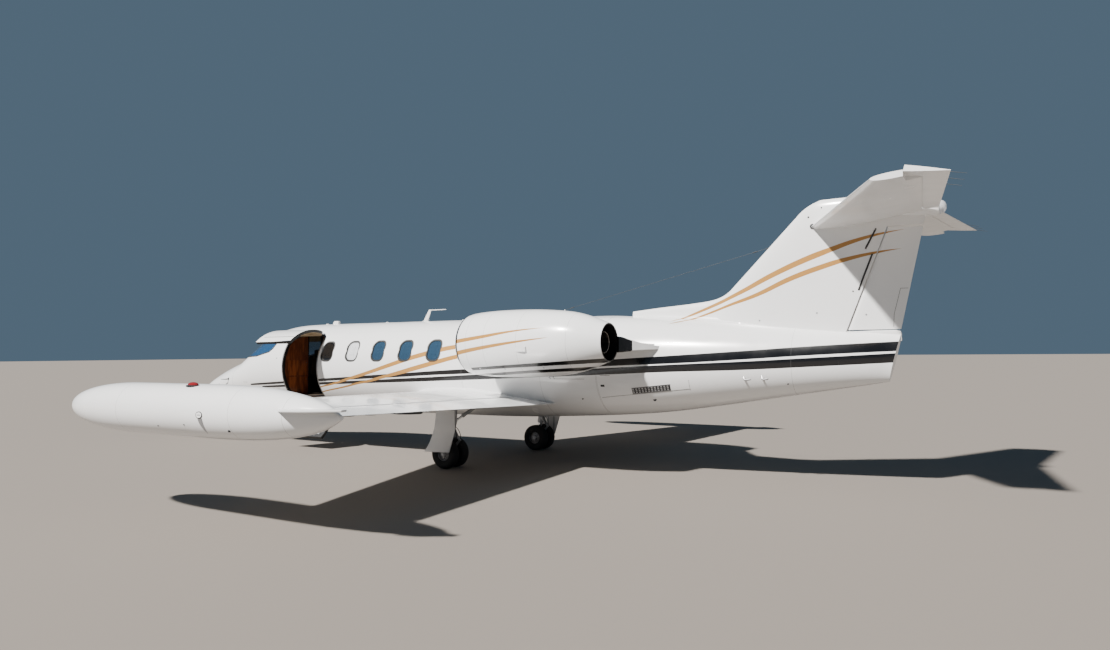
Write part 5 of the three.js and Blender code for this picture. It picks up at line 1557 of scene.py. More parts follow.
def wheel(name, centre, bead, half, bore, web=0.021, holes=8):
    """A wheel about a line across, with a dished web, lightening holes and bolts."""
    rim = bead - 0.0006
    side = [(bore, half), (0.040, half), (0.044, half - 0.006), (0.049, web + 0.008), (rim - 0.016, web),
            (rim - 0.009, web + 0.008), (rim - 0.006, half - 0.008), (rim - 0.001, half - 0.004),
            (rim, half - 0.008), (rim - 0.003, half - 0.014)]
    made = turned(name, side + [(r, -x) for r, x in reversed(side)], centre, "X", 64)
    radius = (0.049 + rim - 0.016) / 2
    def spot(k):
        turn = math.pi * k / holes
        return Vector(centre) + Vector((0, radius * math.cos(turn), radius * math.sin(turn)))
    bits = []
    for k in range(0, 2 * holes, 2):
        cut(made, cross_rod("hole", spot(k), 0.1, 0.0105, sides=14, edge=0))
        bits.append(cross_rod("bolt", spot(k + 1), web + 0.009, 0.0055, sides=6, edge=0))
    return join(name, [made, *bits])


def strap(name, start, end, wide0, wide1, thick, edge=0.003):
    """A flat tapering bar with its width across the jet."""
    start, end = Vector(start), Vector(end)
    normal = (end - start).cross(Vector((1, 0, 0))).normalized() * thick / 2
    rings = []
    for place, wide in ((start, wide0), (end, wide1)):
        across = sideways(wide / 2)
        rings.append([place - across - normal, place + across - normal, place + across + normal,
                      place - across + normal])
    piece = skin(name, rings)
    bevel(piece, edge, 1)
    return smooth(piece, 45)


def make_main_wheels():
    centre = at(GEAR["x"], GEAR["station"], GEAR["axle"])
    for place, sign in (("inner", -1), ("outer", 1)):
        middle = centre + sideways(sign * GEAR["half"])
        rubber = tyre("tyre", middle, GEAR["axle"], GEAR["tyre"], GEAR["bead"])
        pair(rubber, f"tyre_{place}_round", "main_wheels_{}", "tyre_rubber", "tyre", node=f"tyre_{place}")
        metal = wheel("wheel", middle, GEAR["bead"], 0.056, 0.0292)
        pair(metal, f"wheel_{place}_rim", "main_wheels_{}", "wheel_alloy", "alloy", node=f"wheel_{place}")


def make_main_leg():
    s, x = GEAR["station"], GEAR["x"]
    foot = at(x, s, GEAR["axle"])
    top, knee = at(x, s + 0.070, GEAR["top"]), at(x, s + 0.028, 0.500)
    down = (knee - top).normalized()
    bits = [
        rod("cylinder", top, knee, 0.056, 0.052, 32),
        rod("collar", knee - down * 0.035, knee + down * 0.012, 0.057, sides=32),
        rod("gland", knee, knee + down * 0.03, 0.043, sides=28),
        rod("band", top + down * 0.20, top + down * 0.23, 0.061, sides=32),
        rod("foot", foot + Vector((0, 0, 0.075)), foot + Vector((0, 0, -0.02)), 0.042, 0.046, 24),
        cross_rod("housing", foot, 0.038, 0.044, sides=32, edge=0.003),
        cross_rod("axle", foot, 0.181, 0.028, sides=32, edge=0.003),
    ]
    for sign in (1, -1):
        end = foot + sideways(sign * 0.178)
        bits.append(rod("nut", end, end + sideways(sign * 0.012), 0.021, sides=6))
        stack = foot + sideways(sign * 0.046)
        for k, radius in enumerate((0.082, 0.078, 0.082, 0.078, 0.082)):
            disc = stack + sideways(sign * 0.008 * k)
            bits.append(rod("disc", disc, disc + sideways(sign * 0.0055), radius, sides=40))
        for k in range(4):
            turn = math.radians(35 + 90 * k)
            spot = stack + Vector((-sign * 0.006, 0.062 * math.cos(turn), 0.062 * math.sin(turn)))
            bits.append(rod("piston", spot, spot + sideways(sign * 0.010), 0.014, sides=14))
    apex = at(x, s + 0.175, 0.420)
    upper, lower = at(x, s + 0.070, 0.560), at(x, s + 0.030, 0.262)
    bits += [strap("link", upper, apex, 0.088, 0.036, 0.020), strap("link", lower, apex, 0.080, 0.036, 0.020),
             cross_rod("pin", apex, 0.026, 0.013), cross_rod("pin", upper, 0.050, 0.014),
             cross_rod("pin", lower, 0.046, 0.013)]
    for z in (0.820, 0.640):
        bits.append(rod("arm", at(x + 0.04, s + 0.060, z), at(1.490, s + 0.060, z), 0.012))
        bits.append(block("fitting", at(1.478, s + 0.030, z - 0.022), at(1.4945, s + 0.090, z + 0.022)))
    for piece in bits:
        colour_in(piece, "steel")
    chrome = rod("oleo", at(x, s + 0.028, 0.53), foot + Vector((0, 0, 0.03)), 0.034, sides=32, edge=0)
    bits.append(colour_in(chrome, "chrome"))
    pair(join("main_leg_strut", bits), "main_leg_strut", "airframe", "gear_metal", node="main_leg")
    hose = ((0.030, 0.075, 0.62), (0.040, 0.135, 0.55), (0.046, 0.155, 0.47), (0.046, 0.115, 0.36),
            (0.044, 0.060, 0.285))
    pipe = ((0.058, 0.085, 0.93), (0.060, 0.078, 0.80), (0.058, 0.070, 0.66), (0.030, 0.075, 0.62))
    hoses = [tube("hose", [at(x + sign * out, s + aft, z) for out, aft, z in route], radius, 8)
             for sign, route, radius in ((1, hose, 0.0055), (-1, hose, 0.0055), (-1, pipe, 0.0045))]
    pair(join("brake_hoses", hoses), "brake_hoses", "airframe", "black_rubber", "rubber")


def make_brace():
    s = GEAR["station"]
    start, end = at(GEAR["x"] - 0.030, s + 0.060, 0.700), at(0.700, s + 0.250, 0.990)
    along = (end - start).normalized()
    eye = start + along * 0.015
    bits = [rod("barrel", start + along * 0.16, end, 0.027, sides=24),
            rod("gland", start + along * 0.15, start + along * 0.19, 0.031, sides=24),
            rod("eye", eye - Vector((0, 0.020, 0)), eye + Vector((0, 0.020, 0)), 0.026, sides=20)]
    for piece in bits:
        colour_in(piece, "steel")
    bits.append(colour_in(rod("ram", start, start + along * 0.2, 0.017, sides=20, edge=0), "chrome"))
    pair(join("side_brace_ram", bits), "side_brace_ram", "airframe", "gear_metal", node="side_brace")


def make_gear_door():
    outline = ((7.715, .900), (8.050, .895), (8.062, .590), (8.035, .500), (7.955, .262), (7.700, .254),
               (7.470, .250), (7.530, .315), (7.585, .400), (7.628, .490), (7.652, .560), (7.672, .610))
    door = plate("door", [at(1.5015, s, z) for s, z in outline], 0.013, 0.004)
    seam = block("seam", at(1.5072, 7.4, 0.556), at(1.52, 8.2, 0.5595), 0)
    cut(door, colour_in(seam, "plain"))
    ribs = [block("rib", at(x, s0, z0), at(1.4955, s1, z1), 0.003) for x, s0, s1, z0, z1 in (
        (1.484, 7.75, 8.02, .855, .880), (1.484, 7.70, 8.03, .585, .610), (1.484, 7.60, 7.93, .290, .312),
        (1.484, 7.80, 7.825, .30, .87), (1.484, 7.93, 7.952, .30, .87),
        (1.480, 7.76, 7.79, .880, .955), (1.480, 8.00, 8.03, .880, .955))]
    bits = [colour_in(door, "plain")] + [colour_in(rib, "steel") for rib in ribs]
    pair(join("gear_door_panel", bits), "gear_door_panel", "airframe", "white_paint", node="gear_door")


def make_nose_gear():
    s, axle = NOSE_GEAR["station"], NOSE_GEAR["axle"]
    leg = [rod("cylinder", at(0, s, 0.985), at(0, s, 0.645), 0.047, 0.045, 28),
           rod("collar", at(0, s, 0.70), at(0, s, 0.668), 0.058, sides=28),
           rod("collar", at(0, s, 0.90), at(0, s, 0.865), 0.060, sides=28)]
    for sign in (1, -1):
        leg.append(rod("steering_ram", at(sign * 0.030, s - 0.06, 0.735), at(sign * 0.085, s - 0.05, 0.735),
                       0.018, sides=16))
        leg.append(rod("trunnion", at(sign * 0.03, s, 0.885), at(sign * 0.119, s, 0.885), 0.018, sides=16))
    leg.append(rod("drag_strut", at(0, s - 0.03, 0.80), at(0, s - 0.30, 0.975), 0.018, sides=16))
    for piece in leg:
        colour_in(piece, "steel")
    give(join("nose_leg_strut", leg), "airframe", "gear_metal", replaces=["nose_leg"])
    fork = [block("crown", at(-0.090, s - 0.040, 0.505), at(0.090, s + 0.040, 0.560), 0.014, 3),
            rod("axle", at(-0.100, s, axle), at(0.100, s, axle), 0.020, sides=24, edge=0.002),
            rod("gland", at(0, s, 0.555), at(0, s, 0.580), 0.042, sides=28)]
    for sign in (1, -1):
        arm = plate("arm", [at(sign * 0.082, s + a, z) for a, z in (
            (-.026, axle - .022), (-.012, axle - .031), (.012, axle - .031), (.026, axle - .022), (.030, .36),
            (.034, .515),
            (.026, .53), (-.026, .53), (-.034, .515), (-.030, .36))], 0.016, 0.004)
        fork.append(arm)
        fork.append(rod("nut", at(sign * 0.088, s, axle), at(sign * 0.0995, s, axle), 0.027, sides=6))
    fork += [strap("link", at(0, s + 0.034, 0.535), at(0, s + 0.115, 0.590), 0.060, 0.030, 0.016),
             strap("link", at(0, s + 0.066, 0.655), at(0, s + 0.115, 0.590), 0.050, 0.030, 0.016),
             rod("pin", at(-0.022, s + 0.115, 0.590), at(0.022, s + 0.115, 0.590), 0.010)]
    for piece in fork:
        colour_in(piece, "steel")
    fork.append(colour_in(rod("oleo", at(0, s, 0.56), at(0, s, 0.6385), 0.034, sides=28, edge=0), "chrome"))
    give(join("nose_fork_arms", fork), "nose_steering", "gear_metal", replaces=["nose_fork"])
    centre = at(0, s, axle)
    rubber = tyre("nose_tyre_round", centre, axle, NOSE_GEAR["tyre"], NOSE_GEAR["bead"])
    give(rubber, "nose_roller", "tyre_rubber", "tyre", replaces=["nose_tyre"])
    metal = wheel("nose_wheel_rim", centre, NOSE_GEAR["bead"], 0.062, 0.0208, 0.024, 6)
    give(metal, "nose_roller", "wheel_alloy", "alloy", replaces=["nose_wheel"])
    outline = ((.935, .774), (1.660, .700), (1.660, .470), (1.640, .455), (1.500, .440), (1.020, .515),
               (.995, .530))
    door = colour_in(plate("door", [at(0.139, a, z) for a, z in outline], 0.009, 0.003), "plain")
    bits = [door]
    for a in (1.06, 1.30, 1.54):
        bits.append(colour_in(block("rib", at(0.130, a, 0.53), at(0.1352, a + 0.018, 0.72), 0.002), "steel"))
        bits.append(colour_in(block("hinge", at(0.122, a, 0.70), at(0.1352, a + 0.022, 0.745), 0.002),
                              "steel"))
    pair(join("nose_door_panel", bits), "nose_door_panel", "airframe", "white_paint", node="nose_door")


make_main_wheels()
make_main_leg()
make_brace()
make_gear_door()
make_nose_gear()


# Cabin: seats, floor, instrument panel and dividers
FLOOR_TOP = 0.960


def cushion(name, low, high, swell=0.02, crown=(0, 0, 1), channels=3):
    """A padded leather block with rolled edges, a crown on its show face and sewn channels across it."""
    piece = block(name, low, high, 0)
    pick(piece)
    bpy.ops.object.mode_set(mode="EDIT")
    bpy.ops.mesh.select_all(action="SELECT")
    bpy.ops.mesh.subdivide(number_cuts=11)
    bpy.ops.object.mode_set(mode="OBJECT")
    centre, half = (low + high) / 2, (high - low) / 2
    main = max(range(3), key=lambda k: abs(crown[k]))
    others = [k for k in range(3) if k != main]
    sewn = max(others, key=lambda k: half[k] if k != 0 else 0)
    for vertex in piece.data.vertices:
        share = [(vertex.co[k] - centre[k]) / half[k] for k in range(3)]
        bulge = math.sqrt(max((1 - share[others[0]] ** 4) * (1 - share[others[1]] ** 4), 0))
        for k in range(3):
            a, b = (share[j] for j in range(3) if j != k)
            pull = 0.30 * min(half) * (1 - math.sqrt(max((1 - a ** 8) * (1 - b ** 8), 0)))
            vertex.co[k] -= math.copysign(pull, share[k]) if abs(share[k]) > 0.999 else 0
        if share[main] * crown[main] > 0.999:
            groove = abs(math.sin(math.pi * channels * (share[sewn] + 1) / 2)) ** 0.35 if channels else 1
            vertex.co[main] += math.copysign(swell * bulge * (0.45 + 0.55 * groove) - swell * 0.4,
                                             crown[main])
    modify(piece, "SUBSURF", levels=1, render_levels=1)
    return piece


def make_seat(name, x, station, facing, key, slot, node=None):
    """One seat: a base, a padded cushion, a padded back with a head rest, and arm rests."""
    low, high = sorted((station - facing * 0.270, station + facing * 0.200))
    base = [block("base", at(x - 0.190, low + 0.05, FLOOR_TOP + 0.0005), at(x + 0.190, high - 0.05, 1.190),
                  0.015)]
    for middle in (x + 0.235, x - 0.235):
        base.append(block("arm", at(middle - 0.022, low + 0.08, 1.195),
                          at(middle + 0.022, high + 0.03, 1.225), 0.008))
    base = join(f"{name}_base", [colour_in(piece, "dark") for piece in base])
    give(base, "airframe", slot, replaces=[node] if node else [])
    back, rear = sorted((station + facing * 0.190, station + facing * 0.285))
    wide, top = (0.105, 1.820) if "pilot" in name else (0.165, 1.878)
    forwards = (0, -facing, 0)
    pads = [
        cushion("seat", at(x - 0.250, low, 1.195), at(x + 0.250, high, 1.325), 0.022, (0, 0, 1)),
        cushion("back", at(x - 0.235, back, 1.300), at(x + 0.235, rear, 1.700), 0.022, forwards, 4),
        cushion("head", at(x - wide, back + 0.010, 1.705), at(x + wide, rear - 0.008, top), 0.012,
                forwards, 0),
    ]
    posts = []
    for middle in (x + 0.235, x - 0.235):
        pads.append(cushion("arm", at(middle - 0.030, low + 0.06, 1.430), at(middle + 0.030, high, 1.475),
                            0.006, (0, 0, 1), 0))
        posts.append(block("post", at(middle - 0.012, station - 0.03, 1.22),
                           at(middle + 0.012, station + 0.03, 1.435), 0.004))
    bits = [colour_in(pad, key) for pad in pads] + [colour_in(post, "dark") for post in posts]
    seat = give(join(f"{name}_pads", bits), "airframe", slot)


def make_seats():
    for name, side in SIDES:
        make_seat(f"pilot_seat_{name}", side * 0.340, 2.900, 1, "leather_dark", "dark_leather",
                  f"pilot_seat_{name}")
        for number, (station, facing) in enumerate(((4.700, -1), (5.900, 1), (6.700, 1))):
            node = f"cabin_seats_{name}" if number == 0 else None
            make_seat(f"cabin_seat_{name}_{number + 1}", side * 0.420, station, facing, "leather_tan",
                      "tan_leather", node)
    rails = [block("rail", at(side * x - 0.012, 4.45, FLOOR_TOP + 0.0005),
                   at(side * x + 0.012, 7.0, FLOOR_TOP + 0.012), 0.003)
             for side in (1, -1) for x in (0.30, 0.50)]
    give(join("seat_rails", rails), "airframe", "gear_metal", "steel")


def make_floor():
    node = bpy.data.objects["cabin_floor"]
    node.data.materials.clear()
    node.data.materials.append(M["carpet"])
    sill = block("door_sill", at(0.43, DOOR["start"] + 0.06, 0.958), at(0.484, DOOR["end"] - 0.06, 0.966),
                 0.003)
    give(sill, "airframe", "gear_metal", "alloy")


def make_dividers():
    """Wood panels ahead of the doorway, each with a dark edge, and a dark cabinet with light knobs."""
    for name, low, high, edge, x0, x1 in (("left", 0.110, 0.740, 0.110, 0.110, 0.62),
                                          ("right", -0.740, -0.250, -0.250, -0.62, -0.27)):
        panel = block("panel", at(low, 3.284, FLOOR_TOP + 0.001), at(high, 3.336, 2.118), 0.006)
        inner = colour_in(body_skin("inner", 3.0, 3.6, 0.1, -CABIN_WALL - 0.001, "wood"), "wood")
        bits = [cut(colour_in(panel, "wood"), inner, operation="INTERSECT")]
        edge = block("edge", at(edge - 0.010, 3.276, FLOOR_TOP + 0.001), at(edge + 0.010, 3.344, 2.08), 0.004)
        bits.append(colour_in(edge, "dark"))
        for z0, z1 in ((1.02, 1.30), (1.33, 1.62)):
            door = block("door", at(x0 + 0.03, 3.334, z0), at(x1 - 0.02, 3.342, z1), 0.004)
            bits.append(colour_in(door, "wood"))
            knob = rod("knob", at(x0 + 0.06, 3.342, z1 - 0.05), at(x0 + 0.06, 3.352, z1 - 0.05), 0.009)
            bits.append(colour_in(knob, "alloy"))
        give(join(f"divider_{name}_panel", bits), "airframe", "wood_veneer", replaces=[f"divider_{name}"])
    cabinet = block("cabinet", at(-0.64, 3.345, FLOOR_TOP + 0.001), at(-0.30, 3.72, 1.42), 0.012)
    top = block("top", at(-0.65, 3.345, 1.420), at(-0.29, 3.73, 1.440), 0.006)
    bits = [colour_in(cabinet, "dark"), colour_in(top, "wood")]
    for z in (1.08, 1.20, 1.32):
        route = ((-0.298, 3.46), (-0.284, 3.47), (-0.284, 3.60), (-0.298, 3.61))
        bits.append(colour_in(tube("handle", [at(x, s, z) for x, s in route], 0.005), "white_plastic"))
    give(join("galley_cabinet", bits), "airframe", "dark_panel")


def within_lining(piece):
    """Cuts a dark piece of the cockpit off where the lining starts."""
    lining = body_skin("inner", 1.9, 2.8, 0.1, -CABIN_WALL - 0.002, "dark")
    return cut(colour_in(piece, "dark"), lining, operation="INTERSECT")


def make_cockpit():
    bits = [within_lining(block("panel", at(-0.66, 2.19, 1.14), at(0.66, 2.325, 1.60), 0.02)),
            within_lining(block("hood", at(-0.60, 2.10, 1.60), at(0.60, 2.39, 1.632), 0.014))]
    for side in (1, -1):
        for x, z, r in ((0.20, 1.50, .040), (0.31, 1.50, .040), (0.42, 1.50, .040), (0.20, 1.39, .040),
                        (0.31, 1.39, .040), (0.42, 1.39, .040), (0.51, 1.45, .026), (0.51, 1.37, .026)):
            x *= side
            bits.append(colour_in(rod("bezel", at(x, 2.322, z), at(x, 2.331, z), r, sides=24), "steel"))
            dial = rod("dial", at(x, 2.330, z), at(x, 2.3325, z), r * 0.84, sides=24, edge=0)
            bits.append(colour_in(dial, "window"))
    for z in (1.53, 1.46, 1.39, 1.32):
        bits.append(colour_in(block("radio", at(-0.13, 2.320, z - 0.028), at(0.13, 2.334, z + 0.028), 0.004),
                              "dark"))
        screen = block("screen", at(-0.07, 2.333, z - 0.016), at(0.07, 2.3355, z + 0.016), 0.001, 1)
        bits.append(colour_in(screen, "window"))
        for x in (-0.105, 0.105):
            bits.append(colour_in(rod("knob", at(x, 2.334, z), at(x, 2.348, z), 0.010, sides=12), "steel"))
    give(join("instrument_board", bits), "airframe", "dark_panel", replaces=["instrument_panel"])
    bits = [colour_in(block("pedestal", at(-0.12, 2.33, FLOOR_TOP + 0.001), at(0.12, 2.86, 1.32), 0.02),
                      "dark")]
    for x in (-0.03, 0.03):
        bits.append(colour_in(rod("lever", at(x, 2.60, 1.31), at(x, 2.62, 1.40), 0.008), "steel"))
        bits.append(colour_in(cross_rod("grip", at(x, 2.62, 1.405), 0.022, 0.014, sides=14), "white_plastic"))
    route = ((-0.13, 2.52, 1.42), (-0.14, 2.51, 1.33), (-0.07, 2.50, 1.29), (0.07, 2.50, 1.29),
             (0.14, 2.51, 1.33), (0.13, 2.52, 1.42))
    for x in (0.34, -0.34):
        bits.append(colour_in(rod("column", at(x, 2.33, 1.28), at(x, 2.50, 1.30), 0.016), "dark"))
        bits.append(colour_in(tube("yoke", [at(x + out, s, z) for out, s, z in route], 0.014, 10), "dark"))
    give(join("pedestal_and_yokes", bits), "airframe", "dark_panel")


def inner_point(station, angle, depth):
    return body_point(station, math.radians(angle), -depth)


def make_cabin_trim():
    """Ceiling strip with lamps, a ledge under the windows and a white surround round each window."""
    bits = []
    strip = skin("strip", [[inner_point(s, a, CABIN_WALL + d) for a, d in (
        (72, -.004), (80, -.004), (90, -.004), (100, -.004), (108, -.004), (108, .018), (100, .030),
        (90, .034), (80, .030),
        (72, .018))] for s in stations(3.38, 7.45, 0.3)])
    bits.append(colour_in(strip, "lining"))
    for side in (1, -1):
        ledge = skin("ledge", [[inner_point(s, 90 - side * (90 - a), CABIN_WALL + d) for a, d in (
            (0, -.004), (7, -.004), (7, .035), (4, .052), (-4, .056), (-8, .030), (-8, -.004))]
            for s in stations(4.42 if side > 0 else 3.80, 7.45, 0.3)])
        bits.append(colour_in(ledge, "wood"))
    give(join("cabin_trim", bits), "airframe", "cabin_lining")
    lamps = []
    for s in (3.9, 4.9, 5.9, 6.9):
        for side in (1, -1):
            spot = inner_point(s, 90 - side * 7, CABIN_WALL + 0.030)
            lamps.append(rod("lamp", spot, spot - Vector((0, 0, 0.010)), 0.022, sides=18))
    give(join("reading_lamps", lamps), "airframe", "lamp_clear", "lamp_clear")
    profile = ((-0.012, -0.045), (-0.014, -CABIN_WALL - 0.008), (0.020, -CABIN_WALL - 0.013),
               (0.045, -CABIN_WALL - 0.006), (0.046, -CABIN_WALL + 0.004), (-0.004, -CABIN_WALL + 0.006),
               (-0.004, -0.045), (-0.012, -0.045))
    frames = []
    for name, side in SIDES:
        for k in WINDOWS[name]:
            rings = [window_loop(k, side, grow, out, 6) for grow, out in profile]
            frames.append(skin("surround", rings, ends=(False, False)))
    give(join("window_surrounds", frames), "airframe", "cabin_lining", "white_plastic")


make_seats()
make_floor()
make_dividers()
make_cockpit()
make_cabin_trim()


# Small things on the outside

def make_doorway_trim():
    """A black seal and a thin metal rim round the doorway."""
    def path(margin, out):
        rows = door_rows(DOOR["bottom"], DOOR["top"], margin, 200)
        return ([body_point(start, angle, out) for angle, start, end in rows]
                + [body_point(end, angle, out) for angle, start, end in reversed(rows)])
    profile = ((-0.001, -0.004), (0.003, -0.006), (0.004, -0.022), (0.001, -0.030), (0.001, -0.052),
               (-0.001, -0.054), (-0.001, -0.004))
    seal = skin("door_frame_seal", [path(m, out) for m, out in profile], ends=(False, False))
    give(seal, "airframe", "black_rubber", "rubber")
    rim = skin("door_frame_rim", [path(m, out) for m, out in (
        (-0.0005, -0.002), (-0.024, -0.002), (-0.024, 0.0014), (-0.0005, 0.0014), (-0.0005, -0.002))],
        ends=(False, False))
    give(rim, "airframe", "gear_metal", "alloy")


def make_roof_forms():
    """Beacon and dome on the crown, blade aerial with its rod, and the wire from its mast to the fin."""
    b = roof_level(3.990)
    beacon = plate("beacon", [at(0, s, z) for s, z in (
        (3.915, b - .020), (4.065, b - .020), (4.060, b + .048), (4.046, b + .060), (3.958, b + .060),
        (3.938, b + .048), (3.920, b + .018))], 0.060, 0.010)
    d = roof_level(3.750)
    dome = turned("dome", [(0.0, d - .02), (.033, d - .02), (.033, d + .003), (.030, d + .008),
                           (.020, d + .0125),
                           (.010, d + .0145), (0.0, d + .015)], at(0, 3.750, 0), "Z", 32, closed=False)
    a = roof_level(6.200)
    blade = plate("blade", [at(0, s, z) for s, z in (
        (6.150, a - .015), (6.260, a - .015), (6.335, 2.482), (6.337, 2.495), (6.330, 2.501), (6.298, 2.501),
        (6.286, 2.494))], 0.013, 0.004)
    foot = plate("foot", [at(x, s, a + .001) for x, s in (
        (-.022, 6.14), (.022, 6.14), (.030, 6.20), (.022, 6.29), (-.022, 6.29), (-.030, 6.20))], 0.008, 0.002)
    boom = rod("boom", at(0, 6.325, 2.491), at(0, 6.670, 2.491), 0.0078, 0.006, 14)
    bits = [colour_in(piece, "white_plastic") for piece in (beacon, dome, blade, foot, boom)]
    for s, r in ((5.30, .030), (7.05, .022)):
        top = roof_level(s)
        bump = turned("bump", [(0.0, top - .02), (r, top - .02), (r, top + .002), (r * .7, top + .009),
                               (0.0, top + .012)],
                      at(0, s, 0), "Z", 28, closed=False)
        bits.append(colour_in(bump, "white_plastic"))
    give(join("roof_aerials", bits), "airframe", "white_paint")
    m = roof_level(9.070)
    mast = [rod("mast", at(0, 9.080, m - .012), at(0, 9.070, 2.404), 0.0135, 0.0078, 18),
            rod("foot", at(0, 9.080, m - .010), at(0, 9.080, m + .006), 0.030, sides=24)]
    start, end = at(0, 9.072, 2.398), at(0, 12.302, 3.130)
    along = (end - start).normalized()
    wire = [rod("wire", start, end, 0.0022, sides=8, edge=0),
            rod("insulator", start + along * 0.10, start + along * 0.17, 0.007, sides=12),
            rod("insulator", end - along * 0.22, end - along * 0.15, 0.007, sides=12),
            rod("lug", end - along * 0.03, end + along * 0.01, 0.006, sides=12)]
    give(join("wire_mast", [colour_in(p, "white_plastic") for p in mast]), "airframe", "white_paint")
    give(join("aerial_wire", [colour_in(p, "dark") for p in wire]), "airframe", "dark_panel")


def fin_spot(station, level, side, out=0.0):
    u = fin_share(level)
    le, chord = FIN_PANEL.section(u)[:2]
    return FIN_PANEL.point(u, (station - MIDDLE - le.y) / chord.y, side, out)


def fin_stud(name, spot, side, depth, proud, radius, key, sides, edge=0.0012):
    """A round thing set into the side of the fin."""
    start, end = spot - sideways(side * depth), spot + sideways(side * proud)
    return colour_in(rod(name, start, end, radius, sides=sides, edge=edge), key)


def make_fin_details():
    bits = []
    for side in (1, -1):
        for (s0, z0), (s1, z1) in (((13.690, 3.270), (13.560, 3.020)), ((13.640, 2.950), (13.470, 2.510))):
            start, end = fin_spot(s0, z0, side, 0.004), fin_spot(s1, z1, side, 0.004)
            bits.append(colour_in(rod("rod", start, end, 0.011, sides=12), "dark"))
            bits += [fin_stud("post", start.lerp(end, share), side, 0.012, 0.008, 0.010, "white_plastic", 14)
                     for share in (0.06, 0.94)]
        for s, z, r, proud in ((12.915, 3.362, .034, .010), (12.86, 3.49, .013, .003),
                               (13.03, 3.60, .009, .003), (13.47, 2.505, .013, .003),
                               (13.40, 2.485, .010, .003)):
            bits.append(fin_stud("slot", fin_spot(s, z, side), side, .02, proud, r, "dark", 20, .0008))
        for s, z in ((12.20, 2.14), (12.95, 2.22), (13.55, 2.18)):
            bits.append(fin_stud("fastener", fin_spot(s, z, side), side, .006, .0018, .012, "steel", 16))
    give(join("fin_fittings", bits), "airframe", "dark_panel")
    tab = []
    corners = ((13.865, 2.02), (13.875, 2.18), (13.955, 2.50), (14.045, 2.50))
    for side in (1, -1):
        for (s0, z0), (s1, z1) in zip(corners[:-1], corners[1:]):
            line = [(s0 + (s1 - s0) * k / 6, z0 + (z1 - z0) * k / 6) for k in range(7)]
            along, up = (0, 1) if z0 == z1 else (1, 0)
            rows = [[fin_spot(s + along * w, z + up * w, side, 0.0006) for s, z in line]
                    for w in (-0.0022, 0.0022)]
            tab.append(colour_in(patch("line", rows, 0.0012), "dark"))
    give(join("trim_tab_lines", tab), "rudder", "dark_panel")


def make_wicks():
    """Static wicks on the rear edges of the elevators and ailerons."""
    def row(name, points, side, reach):
        wicks = []
        for p in points:
            start = Vector((side * p.x, p.y - 0.02, p.z))
            wicks.append(rod("wick", start, start + Vector(reach), 0.0028, 0.0016, 8, 0))
        return colour_in(join(name, wicks), "dark")
    for name, side in SIDES:
        points = [STAB_PANEL.point(x / STAB["half"], 1.0, 0) for x in (1.55, 1.85, 2.15)]
        made = row(f"elevator_wicks_{name}", points, side, (side * 0.01, 0.17, 0.004))
        give(turned_about(made, f"elevator_hinge_{name}", -STAB["droop"]), f"elevator_{name}", "dark_panel")
        points = [WING.point(wing_share(x), 1.0, 0) for x in (4.30, 4.75, 5.20)]
        give(row(f"aileron_wicks_{name}", points, side, (0, 0.16, -0.006)), f"aileron_{name}", "dark_panel")


def skin_patch(name, s0, s1, z0, z1, side, out, thick, key, steps=8):
    rows = [[on_skin(s, z, side, out) for s in stations(s0, s1, (s1 - s0) / steps)]
            for z in (z0, (z0 + z1) / 2, z1)]
    return colour_in(patch(name, rows, thick), key)


def skin_stud(name, s, z, side, proud, radius, key, sides, edge):
    """A round thing set into the side of the fuselage."""
    return colour_in(rod(name, on_skin(s, z, side, -0.004), on_skin(s, z, side, proud), radius, sides=sides,
                         edge=edge), key)


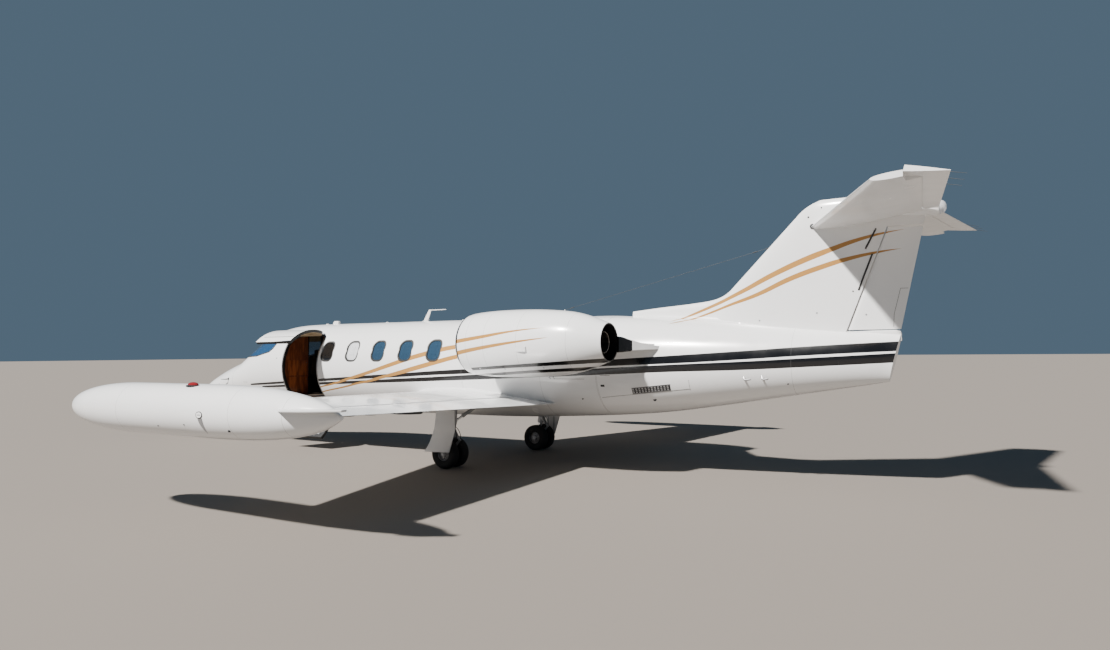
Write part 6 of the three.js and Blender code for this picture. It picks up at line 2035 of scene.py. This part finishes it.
def make_tail_details():
    """Louvred grille, drains, vents, hatch lines and the spine on the rear fuselage and tail cone."""
    def slanted(name, s0, s1, low, high, out, thick, key, steps=10):
        rows = [[on_skin(s, 1.175 + 0.108 * (s - 10.50) + rise, 1, out)
                 for s in stations(s0, s1, (s1 - s0) / steps)]
                for rise in (low, (low + high) / 2, high)]
        return colour_in(patch(name, rows, thick), key)
    # The dark patch under the slats is painted shade, standing in for the openings between them.
    bits = [slanted("painted_shade_backing", 10.505, 11.070, -0.040, 0.040, 0.0012, 0.003, "dark"),
            slanted("frame", 10.500, 11.075, -0.046, -0.040, 0.002, 0.004, "steel"),
            slanted("frame", 10.500, 11.075, 0.040, 0.046, 0.002, 0.004, "steel")]
    pitch = 0.555 / 12
    for k in range(12):
        for low in (-0.033, -0.009, 0.015):
            start = 10.514 + k * pitch
            bits.append(slanted("slat", start, start + pitch * 0.55, low, low + 0.015, 0.0055, 0.003, "steel",
                                2))
    for top, foot in ((12.060, 12.095), (12.290, 12.325)):
        widest, half = body_section(top)[2:]
        start, end = at(half * 0.86, top, widest - .110), at(half * 0.98, foot, widest - .200)
        bits.append(colour_in(rod("drain", start, end, 0.010, sides=16), "white_plastic"))
        tip = end + Vector((0.006, 0.085 if top < 12.2 else 0.075, 0.004))
        bend = (start + end) / 2 + Vector((.004, 0, -.002))
        bits.append(colour_in(tube("pipe", [start, bend, end, tip], 0.011, 8), "alloy"))
        down = end - start
        # A dark disc in the drain's end is painted shade for its open bore.
        bits.append(colour_in(rod("bore", end - down * 0.02, end + down * 0.012, 0.0072, sides=16, edge=0),
                              "dark"))
    for s, z, r in ((10.80, 1.060, .026), (12.62, 1.30, .014), (9.70, 1.05, .014), (8.10, 1.75, .014)):
        bits.append(skin_stud("vent", s, z, 1, 0.0022, r, "dark", 24, 0.0008))
    bits.append(slanted("line", 10.02, 11.34, -0.052, -0.048, 0.0004, 0.0016, "dark", 16))
    for s0, s1, z0, z1 in ((11.338, 11.342, 1.20, 1.34), (9.30, 9.80, 1.338, 1.342),
                           (10.04, 10.10, 1.232, 1.262), (10.05, 10.20, 1.392, 1.398)):
        bits.append(skin_patch("line", s0, s1, z0, z1, 1, 0.0004, 0.0016, "dark"))
    spine = [[at(x * w, s, z) for x, z in ((-1, low), (-.9, high - .012), (-.5, high), (.5, high),
                                           (.9, high - .012), (1, low))]
             for s, w, low, high in ((13.30, .050, 1.88, 1.976), (13.60, .046, 1.86, 1.978),
                                     (13.90, .040, 1.84, 1.978),
                                     (13.948, .036, 1.84, 1.966), (13.955, .030, 1.85, 1.950))]
    bits.append(colour_in(skin("spine", spine), "plain"))
    give(join("tail_grille_and_drains", bits), "airframe", "dark_panel")


def make_body_details():
    """Ports, drip strips and a rain strip along the fuselage, on both sides."""
    bits = []
    for side in (1, -1):
        for s, z, r in ((3.230, 1.66, .012), (2.15, 1.20, .010), (2.22, 1.20, .010), (1.10, 1.13, .016)):
            bits.append(skin_stud("port", s, z, side, 0.0018, r, "steel", 20, 0.0006))
        for k in range(5):
            s = 4.868 + 0.616 * k
            bits.append(skin_patch("drip", s - 0.004, s + 0.004, 1.60, 1.606, side, 0.0006, 0.0014, "steel",
                                   2))
        ledge = [[on_skin(s, z, side, out) for s in stations(4.10, 7.55, 0.15)] for z, out in (
            (2.112, .001), (2.118, .0035), (2.124, .001))]
        bits.append(colour_in(patch("rain_strip", ledge, 0.0015), "plain"))
    give(join("body_fittings", bits), "airframe", "gear_metal")


def make_engine_details():
    """A scoop, latches and two drains on each nacelle."""
    bits = []
    centre = Vector((ENGINE["x"], 0, ENGINE["z"]))
    def spot(s, degrees, out=0.0):
        radius = smooth_row(NACELLE_OUT, s)[1] + out
        turn = math.radians(degrees)
        return centre + Vector((radius * math.cos(turn), s - MIDDLE, radius * math.sin(turn)))
    for s, degrees in ((8.58, -48), (9.02, -48), (9.65, -48), (8.58, -132), (9.02, -132), (9.65, -132)):
        bits.append(colour_in(rod("latch", spot(s, degrees, -.004), spot(s, degrees, .0018), .014, sides=12),
                              "steel"))
    rows = []
    for degrees in (-14, -10, -6):
        rows.append([spot(s, degrees, out) for s, out in (
            (9.30, .0005), (9.34, .010), (9.40, .016), (9.46, .014), (9.47, 0))])
    bits.append(colour_in(patch("scoop", rows, 0.002), "plain"))
    for degrees in (-96, -84):
        bits.append(colour_in(rod("drain", spot(9.55, degrees, -.01), spot(9.60, degrees, .035), .007,
                                  sides=12), "steel"))
    pair(join("nacelle_fittings", bits), "nacelle_fittings", "airframe", "gear_metal")


make_doorway_trim()
make_roof_forms()
make_fin_details()
make_wicks()
make_tail_details()
make_body_details()
make_engine_details()
